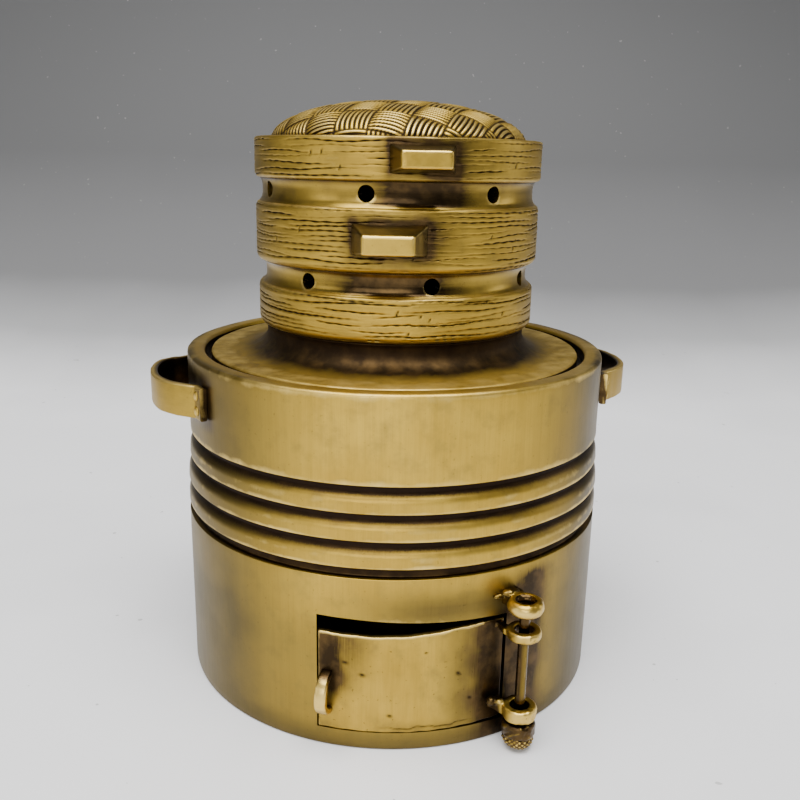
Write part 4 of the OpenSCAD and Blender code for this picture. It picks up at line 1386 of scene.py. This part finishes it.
class StoveBuildBaskets(StoveOperator):
    """Builds the two steamer baskets: carved bands and vented necks"""
    bl_idname = "stove.build_baskets"
    bl_label = "Baskets"

    def build(self, context):
        made = finishes()
        tree = vent_tree()
        for key, b in BASKETS.items():
            inside = b["radius"] - 1.7
            inner = [(inside, b["high"]), (inside, (b["low"] + b["high"]) / 2),
                (inside - 0.2, b["low"])]
            build_band(f"{key.capitalize()}_basket_band", b["radius"], b["low"], b["high"], inner,
                b["seed"], b["clip"], made["Basket brass"], b["body"], b["node"], (1.7, 1.2))
            self.neck(key, b, tree, made)

    def neck(self, key, b, tree, made):
        """The narrow vented neck, with the basket's bore, ledge, socket and spigot."""
        r, low, high, waist, top = b["radius"], b["low"], b["high"], b["waist"], b["next"]
        corners = [(29.4, low, 0), (r - 1.9, low + 0.15, 0), (r - 1.9, low + 2.2, 0),
            (r - 1.3, low + 3, 0), (r - 1.3, high - 0.9, 0), (r - 0.5, high - 0.55, 0),
            (r - 0.8, high - 0.12, 0)]
        corners += [(waist + out, high + up, 0) for out, up in ((0.62, 0.2), (0.32, 0.55),
            (0.12, 1.05), (0.02, 1.7), (0, 2.2))]
        corners += [(waist + out, top - down, 0) for out, down in ((0, 1.7), (0.1, 1.1),
            (0.32, 0.5))]
        corners += [(waist + 0.65, top, 0.1), (29.1, top, 0), (29.1, top + 2.2, 0.4),
            (27.5, top + 2.2, 0.3), (27.5, low + 3.5, 0.2), (25.5, low + 3.5, 0.2),
            (25.5, low + 2.5, 0.2), (29.4, low + 2.5, 0)]
        profile = outline(corners, 0.7)
        azimuth, radius, height = lathe_grid(profile, COWL_AROUND)
        cove = (height > high) & (height < top) & (radius > waist - 0.5)
        uneven = ring_noise(azimuth, height, 30, 3, b["seed"] + 21)
        radius = radius + np.where(cove, 0.035 * uneven, 0)
        points = to_points(azimuth, radius, height, COWL)
        name = f"{key.capitalize()}_basket_neck"
        neck = new_piece(name, points, ring_faces(COWL_AROUND, len(profile)), made["Neck brass"])
        size = sizes()
        run_tree(neck, tree, {"Vent radius": size["vent_radius"] * MM, "Vents": size["vent_count"],
            "Row radius": VENT_ROW_R * MM, "Row centre": Vector((*COWL, b["vent_z"])) * MM,
            "First vent": Vector((0, 0, math.radians(b["vent_az"] - 90))),
            "Drift": math.radians(b["drift"]), "Finish": made["Neck brass"]})
        azimuth, radius, height = cylinder_coords(mesh_points(neck), COWL)
        outer = radius > waist - 0.35
        darkening = 0 * radius
        for middle, wide, strength in b["darkening"]:
            darkening = np.maximum(darkening, strength * hollow_film(azimuth, middle, wide, b["seed"] + 31))
        darkening = np.maximum(darkening, 0.22)
        # Painted shadow at the top of the neck, under the next band.
        seam = 0.8 * smooth(top - 1.2, top - 0.1, height)
        pitch = 360 / size["vent_count"]
        off = np.mod(azimuth - b["vent_az"] + pitch / 2, pitch) - pitch / 2
        hole = np.hypot(np.radians(off) * radius, height - b["vent_z"])
        ring = bump_at(hole, size["vent_radius"] + 0.1, 0.5)
        darkening = darkening * smooth(high - 0.3, high + 0.5, height)
        # Painted shade on the inner faces.
        patina = np.where(outer, np.maximum(darkening, seam), 0.95)
        # Painted highlights on the lower lip of each vent and on the flare at the foot.
        flare = 1 - smooth(high + 0.1, high + 1.2, height)
        edge = np.where(outer, np.maximum(0.5 * ring * (height < b["vent_z"]), 0.15 * flare), 0)
        # Painted shade, deepening up the neck towards the band above, lighter on the flare.
        shade = 0.2 + 0.25 * smooth(high + 1.5, top, height) - 0.15 * flare
        paint(neck, patina, edge, shade=shade * outer)
        settle(neck, b["body"], "basket_brass", b["node"])


# ---- Lid ----

DOME_R = 29.0
DOME_Z = 127.0
DOME_RISE = 9.2
WEAVE_TURN = -23.0
WEAVE_CORNER = (-6.42, -21.2)     # a corner of a block, in plan from the lid's centre


def dome_height(radius, edge, rise):
    """Height of the dome over its edge."""
    return rise * np.clip(1 - (radius / edge) ** 2.3, 0, None) ** 0.556


class StoveBuildLid(StoveOperator):
    """Builds the lid: its carved band and its woven dome"""
    bl_idname = "stove.build_lid"
    bl_label = "Lid"

    def build(self, context):
        made = finishes()
        low, high = 118.6, 127.4
        inner = [(30.6, high), (29.75, 127.3), (29.4, 127.0), (29.4, 126), (27.5, 126),
            (27.5, 121.1), (29.4, 121.1), (29.4, low)]
        build_band("Lid_carved_band", BAND_R, low, high, inner, 401, LID_CLIP, made["Basket brass"],
            "lid", "lid_band", (1.0, 0.6))
        self.dome(made)

    def dome(self, made):
        """A dome of basket weave, cut as blocks of strips that cross each other."""
        size = sizes()
        count = 292
        line = np.linspace(-1, 1, count)
        u, v = np.meshgrid(line, line, indexing="ij")
        px = u * np.sqrt(1 - v * v / 2)
        py = v * np.sqrt(1 - u * u / 2)
        share = np.hypot(px, py)
        steps = DOME_R * np.sin(np.radians(np.linspace(0, 90, 400)))
        rises = dome_height(steps, DOME_R, DOME_RISE - 0.6)
        arc = np.concatenate([[0], np.cumsum(np.hypot(np.diff(steps), np.diff(rises)))])
        arc_here = share * arc[-1]
        radius = np.interp(arc_here, arc, steps)
        height = DOME_Z + np.interp(arc_here, arc, rises)
        slope = np.gradient(rises, arc)
        lean = np.interp(arc_here, arc, slope)
        safe = np.where(share > 0, share, 1)
        ux, uy = px / safe, py / safe
        lift, gap = self.weave(ux * arc_here, uy * arc_here, arc, steps, size)
        fade = 1 - smooth(arc[-1] - 1.1, arc[-1] - 0.2, arc_here)
        lift = lift * fade
        out_r = -lean * lift
        out_z = np.sqrt(np.clip(1 - lean ** 2, 0, 1)) * lift
        x = ux * (radius + out_r)
        y = uy * (radius + out_r)
        z = height + out_z - 0.45 * size["weave_depth"]
        top = np.stack([x, y, z], axis=-1).reshape(-1, 3)
        border = grid_border(count, count)
        rim = top[border]
        turn = np.arctan2(rim[:, 1], rim[:, 0])
        inner_r = 27.2
        inner_z = DOME_Z - 0.4
        inner_rise = DOME_RISE - 2.2
        rings = [(29.4, 126.8), (29.4, 126.0), (27.3, 126.0)]
        for t in (8, 20, 35, 50, 65, 80):
            r = inner_r * math.cos(math.radians(t))
            rings.append((r, inner_z + float(dome_height(r, inner_r, inner_rise))))
        extra = [np.column_stack([r * np.cos(turn), r * np.sin(turn), np.full(len(turn), h)])
            for r, h in rings]
        points = np.concatenate([top] + extra + [np.array([[0, 0, inner_z + inner_rise]])])
        faces = grid_faces(count, count).tolist()
        loop = border
        around = len(border)
        for k in range(len(rings)):
            start = count * count + k * around
            below = list(range(start, start + around))
            for n in range(around):
                m = (n + 1) % around
                faces.append((loop[m], loop[n], below[n], below[m]))
            loop = below
        last = len(points) - 1
        faces += [(loop[(n + 1) % around], loop[n], last) for n in range(around)]
        points[:, 0] += COWL[0]
        points[:, 1] += COWL[1]
        dome = new_piece("Lid_woven_dome", points, faces, made["Dome brass"])
        rest = len(points) - count * count
        # Painted shade, black in the gaps between strips, and on the hidden inner faces.
        dark = np.concatenate([gap.ravel(), np.zeros(rest)])
        under = np.concatenate([np.zeros(count * count), np.full(rest, 0.95)])
        azimuth, ring, _ = cylinder_coords(points, COWL)
        uneven = ring_noise(azimuth, ring, 22, 6, 431)
        # Random film, with more painted shade in the gaps and at the rim.
        darkening = 0.25 * np.clip(uneven, 0, 1) + 0.35 * dark + 0.3 * smooth(28.4, 29, ring)
        darkening = np.maximum(under, darkening)
        shine = smooth(0.55, 1.0, lift / size["weave_depth"]).ravel()
        shine = np.concatenate([shine, np.zeros(rest)])
        paint(dome, darkening, shine * (0.85 + 0.3 * uneven), crack=0.96 * dark)
        settle(dome, "lid", "dome_brass", "woven_dome")

    def weave(self, x, y, arc, steps, size):
        """Height and gap darkness of the weave on the dome's unrolled surface."""
        cell = size["weave_cell"]
        strips = size["weave_strips"]
        turn = math.radians(WEAVE_TURN)
        corner = np.array(WEAVE_CORNER)
        reach = np.hypot(*corner)
        corner = corner / reach * np.interp(reach, steps, arc)
        dx = x - corner[0] + 0.25 * np.sin(y / 5.1)
        dy = y - corner[1] + 0.25 * np.sin(x / 4.3 + 1)
        a = (dx * math.cos(turn) + dy * math.sin(turn)) / cell
        b = (-dx * math.sin(turn) + dy * math.cos(turn)) / cell
        column, row = np.floor(a), np.floor(b)
        fa, fb = a - column, b - row
        along_a = np.mod(column + row, 2) == 1
        along = np.where(along_a, fa, fb)
        across = np.where(along_a, fb, fa)
        bend = 0.05 * (2 * along - 1) ** 2 * np.where(np.mod(column, 2) == 0, 1, -1)
        place = np.clip(across + bend * (across * (1 - across)) * 4, 0, 0.9999) * strips
        side = np.abs(2 * (place - np.floor(place)) - 1)
        end = np.abs(2 * along - 1)
        strip = 1 - side ** 2.4
        pillow = 1 - 0.8 * end ** 3.0
        lift = size["weave_depth"] * strip * pillow
        gap = np.maximum(smooth(0.34, 0.6, side), 0.9 * smooth(0.87, 0.98, end))
        return lift, gap


class StoveBuildClips(StoveOperator):
    """Cuts the two tapered blocks on the middle basket and the lid"""
    bl_idname = "stove.build_clips"
    bl_label = "Clips"

    def build(self, context):
        made = finishes()
        for name, clip, body, seed in (("Lid_block", LID_CLIP, "lid", 503),
                ("Middle_block", MIDDLE_CLIP, "middle_tier", 509)):
            self.block(name, clip, body, seed, made)

    def block(self, name, clip, body, seed, made):
        """A truncated pyramid with softened edges."""
        corners = []
        for (wide, low, high), out in ((clip["base"], CLIP_BACK), (clip["face"], CLIP_OUT)):
            corners += [(-wide / 2, -out, low), (wide / 2, -out, low), (wide / 2, -out, high),
                (-wide / 2, -out, high)]
        face_wide, face_low, face_high = clip["face"]
        a = math.radians(clip["az"])
        points = [(x * math.cos(a) - y * math.sin(a) + COWL[0],
            x * math.sin(a) + y * math.cos(a) + COWL[1], z) for x, y, z in corners]
        faces = [(0, 1, 2, 3), (4, 5, 6, 7), (0, 1, 5, 4), (1, 2, 6, 5), (2, 3, 7, 6), (3, 0, 4, 7)]
        block = new_piece(name, points, faces, made["Polished brass"])
        bevel = block.modifiers.new("Edges", "BEVEL")
        bevel.width = 0.42 * MM
        bevel.segments = 3
        fine = block.modifiers.new("Fine", "SUBSURF")
        fine.subdivision_type = "SIMPLE"
        fine.levels = 4
        fine.render_levels = 4
        apply_modifiers(block)
        points = mesh_points(block)
        dx = points[:, 0] - COWL[0]
        dy = points[:, 1] - COWL[1]
        x = dx * math.cos(a) + dy * math.sin(a)
        y = dy * math.cos(a) - dx * math.sin(a)
        z = points[:, 2]
        # Painted shade on the slopes and at the root against the band, and bright rims round the
        # face.
        front = smooth(CLIP_OUT - 0.75, CLIP_OUT - 0.25, -y)
        root = 1 - smooth(33.2, 35.4, -y)
        upper = smooth(face_high - 0.2, face_high + 0.3, z)
        sides = smooth(face_wide / 2 - 0.1, face_wide / 2 + 0.4, np.abs(x))
        under = 1 - smooth(face_low - 0.3, face_low + 0.1, z)
        slope = np.maximum.reduce([0.22 * upper, 0.3 * sides, 0.4 * under])
        patina = np.maximum(slope * (1 - front), 0.5 * root)
        shade_level = 0.1 + np.maximum.reduce([0.75 * upper, 0.6 * sides, 0.8 * under]) * (1 - front)
        proud = smooth(CLIP_OUT - 0.6, CLIP_OUT - 0.1, -y)
        brow = bump_at(z, face_high - 0.05, 0.35)
        corner = 0.45 * bump_at(np.abs(x), face_wide / 2 - 0.05, 0.3)
        chin = 0.5 * bump_at(z, face_low + 0.05, 0.3)
        edge = np.maximum(np.maximum.reduce([brow, corner, chin]) * proud, 0.12 * front)
        paint(block, patina, edge, shade=shade_level)
        roughen(block, 0.05, 2.2, seed)
        settle(block, body, "polished_brass", "lid_clip" if body == "lid" else "middle_clip")


# ---- Inner fittings ----

INNER_FINISH = {
    "base_plate": "Dull inner brass",
    "grate": "Dull inner brass",
    "grate_lugs": "Dull inner brass",
    "low_rack": "Dull inner brass",
    "middle_rack": "Dull inner brass",
    "fuel_reservoir": "Spun brass",
    "burner_top": "Spun brass",
    "wick_holder": "Spun brass",
    "filler_cap": "Spun brass",
    "wick": "Cotton wick",
}


class StoveFinishFittings(StoveOperator):
    """Gives the burner, the grate and the racks their finishes"""
    bl_idname = "stove.finish_fittings"
    bl_label = "Inner fittings"

    def build(self, context):
        made = finishes()
        for name, finish in INNER_FINISH.items():
            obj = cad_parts[name]
            if not obj.material_slots:
                obj.data.materials.append(made[finish])
            for slot in obj.material_slots:
                slot.material = made[finish]


# ---- Stage ----

# The stage is in metres.
CAMERA_AT = (-0.0220, -0.2093, 0.1228)
CAMERA_HEADING = 6.4
CAMERA_PITCH = 15.45
CAMERA_ROLL = 1.15
CAMERA_LENS = 39.04
LIGHTS = (                      # name, place, aim, width and depth, power
    ("Overhead light", (-0.05, -0.25, 0.95), (0, 0, 0.02), (0.9, 0.7), 17),
    ("Front light", (-0.35, -1.15, 0.5), (0, 0, 0.07), (1.1, 0.6), 8),
    ("Left light", (-1.1, -0.5, 0.35), (0, 0, 0.09), (0.5, 0.5), 1.6),
    ("Right light", (1.2, 0.1, 0.4), (0, 0, 0.06), (0.3, 0.6), 1.5),
)


class StoveBuildStage(StoveOperator):
    """Sets the pale floor with its swept back, the soft lights and the camera"""
    bl_idname = "stove.build_stage"
    bl_label = "Stage"

    def build(self, context):
        self.floor()
        self.lights(context)
        self.camera(context)

    def floor(self):
        """A pale sheet that sweeps up behind the stove, with painted shade darkening it towards its
        top.
        """
        heading = math.radians(CAMERA_HEADING)
        ahead = np.array([math.sin(heading), math.cos(heading)])
        across = np.array([math.cos(heading), -math.sin(heading)])
        start, turn_r = 0.17, 0.3
        bends = [math.radians(t) for t in range(0, 91, 5)]
        run = [(-1.5, 0.0), (-0.6, 0.0), (0.0, 0.0)]
        run += [(start + turn_r * math.sin(t), turn_r * (1 - math.cos(t))) for t in bends]
        run += [(start + turn_r, 0.8), (start + turn_r, 1.6)]
        sides = np.linspace(-2.0, 2.0, 9)
        points = [(*(ahead * depth + across * side), high) for side in sides for depth, high in run]
        faces = grid_faces(len(sides), len(run)).tolist()
        mesh = bpy.data.meshes.new("Floor_sweep")
        mesh.from_pydata(points, [], faces)
        mesh.polygons.foreach_set("use_smooth", [True] * len(mesh.polygons))
        mesh.materials.append(self.paper())
        floor = bpy.data.objects.new("Floor_sweep", mesh)
        bpy.context.scene.collection.objects.link(floor)

    def paper(self):
        """Pale grey paper, with painted shade darkening it towards the top of the sweep, and a few
        specks.
        """
        material, tree, shader, place = new_material("Pale paper")
        high = node(tree, "ShaderNodeSeparateXYZ", {0: place}).outputs[2]
        cloud = noise_at(tree, place, 9, detail=3, rough=0.5)
        level = ranged(tree, jittered(tree, cloud, 0.014, high), 0.0, 0.5)
        # Painted shade: the ramp runs from pale paper to near black up the sweep.
        ramp = node(tree, "ShaderNodeValToRGB", {"Fac": level})
        stops = ramp.color_ramp.elements
        stops[0].color = (0.92, 0.92, 0.93, 1)
        stops[1].position = 1.0
        stops[1].color = (0.034, 0.031, 0.03, 1)
        for at, shade in ((0.015, 0.74), (0.05, 0.36), (0.1, 0.165), (0.25, 0.082), (0.5, 0.056)):
            stop = stops.new(at)
            stop.color = (shade, shade, shade * 1.01, 1)
        speck = noise_at(tree, place, 330, detail=1, rough=0.5, shift=(2, 4, 0))
        spots = ranged(tree, speck, 0.775, 0.79, 0, 0.5)
        colour = blend_colour(tree, spots, ramp.outputs[0], (0.25, 0.24, 0.23))
        tree.links.new(colour, shader.inputs["Base Color"])
        shader.inputs["Roughness"].default_value = 0.6
        return material

    def lights(self, context):
        """A soft room, a large light overhead, one in front and weak ones at the sides."""
        world = bpy.data.worlds.new("Soft room")
        world.use_nodes = True
        background = world.node_tree.nodes["Background"]
        background.inputs["Color"].default_value = (0.8, 0.8, 0.81, 1)
        background.inputs["Strength"].default_value = 0.38
        context.scene.world = world
        for name, at, aim, size, power in LIGHTS:
            data = bpy.data.lights.new(name, "AREA")
            data.shape = "RECTANGLE"
            data.size, data.size_y = size
            data.energy = power
            lamp = bpy.data.objects.new(name, data)
            lamp.location = at
            lamp.rotation_euler = (Vector(aim) - Vector(at)).to_track_quat("-Z", "Y").to_euler()
            context.scene.collection.objects.link(lamp)

    def camera(self, context):
        """The camera, level with the lid, a little left of the door and looking down."""
        heading = math.radians(CAMERA_HEADING)
        pitch = math.radians(CAMERA_PITCH)
        roll = math.radians(CAMERA_ROLL)
        ahead = Vector((math.sin(heading) * math.cos(pitch), math.cos(heading) * math.cos(pitch),
            -math.sin(pitch)))
        right = Vector((math.cos(heading), -math.sin(heading), 0))
        up = right.cross(ahead)
        rolled_right = right * math.cos(roll) + up * math.sin(roll)
        rolled_up = up * math.cos(roll) - right * math.sin(roll)
        data = bpy.data.cameras.new("Camera")
        data.lens = CAMERA_LENS
        data.sensor_width = 36
        data.clip_start = 0.01
        camera = bpy.data.objects.new("Camera", data)
        turn = Matrix((rolled_right, rolled_up, -ahead)).transposed().to_4x4()
        camera.matrix_world = Matrix.Translation(CAMERA_AT) @ turn
        context.scene.collection.objects.link(camera)
        context.scene.camera = camera


# ---- Panel and registration ----

OPERATORS = (StoveBuildStage, StoveBuildFirebox, StoveBuildHandles, StoveBuildDoor, StoveBuildHinge,
    StoveBuildPlate, StoveBuildBaskets, StoveBuildLid, StoveBuildClips, StoveFinishFittings)


class StovePanel(bpy.types.Panel):
    """Lists the stove's sizes, colours and pieces"""
    bl_idname = "STOVE_PT_panel"
    bl_label = "Spirit Stove"
    bl_space_type = "VIEW_3D"
    bl_region_type = "UI"
    bl_category = "Stove"

    def draw(self, context):
        layout = self.layout
        for group in (context.scene.stove_sizes, context.scene.stove_finish):
            box = layout.box()
            for key in group.bl_rna.properties.keys():
                if key not in ("rna_type", "name"):
                    box.prop(group, key)
        for operator in OPERATORS:
            layout.operator(operator.bl_idname)


CLASSES = (StoveSizes, StoveFinish) + OPERATORS + (StovePanel,)


def register():
    for cls in CLASSES:
        bpy.utils.register_class(cls)
    bpy.types.Scene.stove_sizes = PointerProperty(type=StoveSizes)
    bpy.types.Scene.stove_finish = PointerProperty(type=StoveFinish)


def unregister():
    del bpy.types.Scene.stove_finish
    del bpy.types.Scene.stove_sizes
    for cls in reversed(CLASSES):
        bpy.utils.unregister_class(cls)


def main():
    """Builds every piece in order."""
    register()
    for operator in OPERATORS:
        _, name = operator.bl_idname.split(".")
        getattr(bpy.ops.stove, name)()


if __name__ == "__main__":
    main()
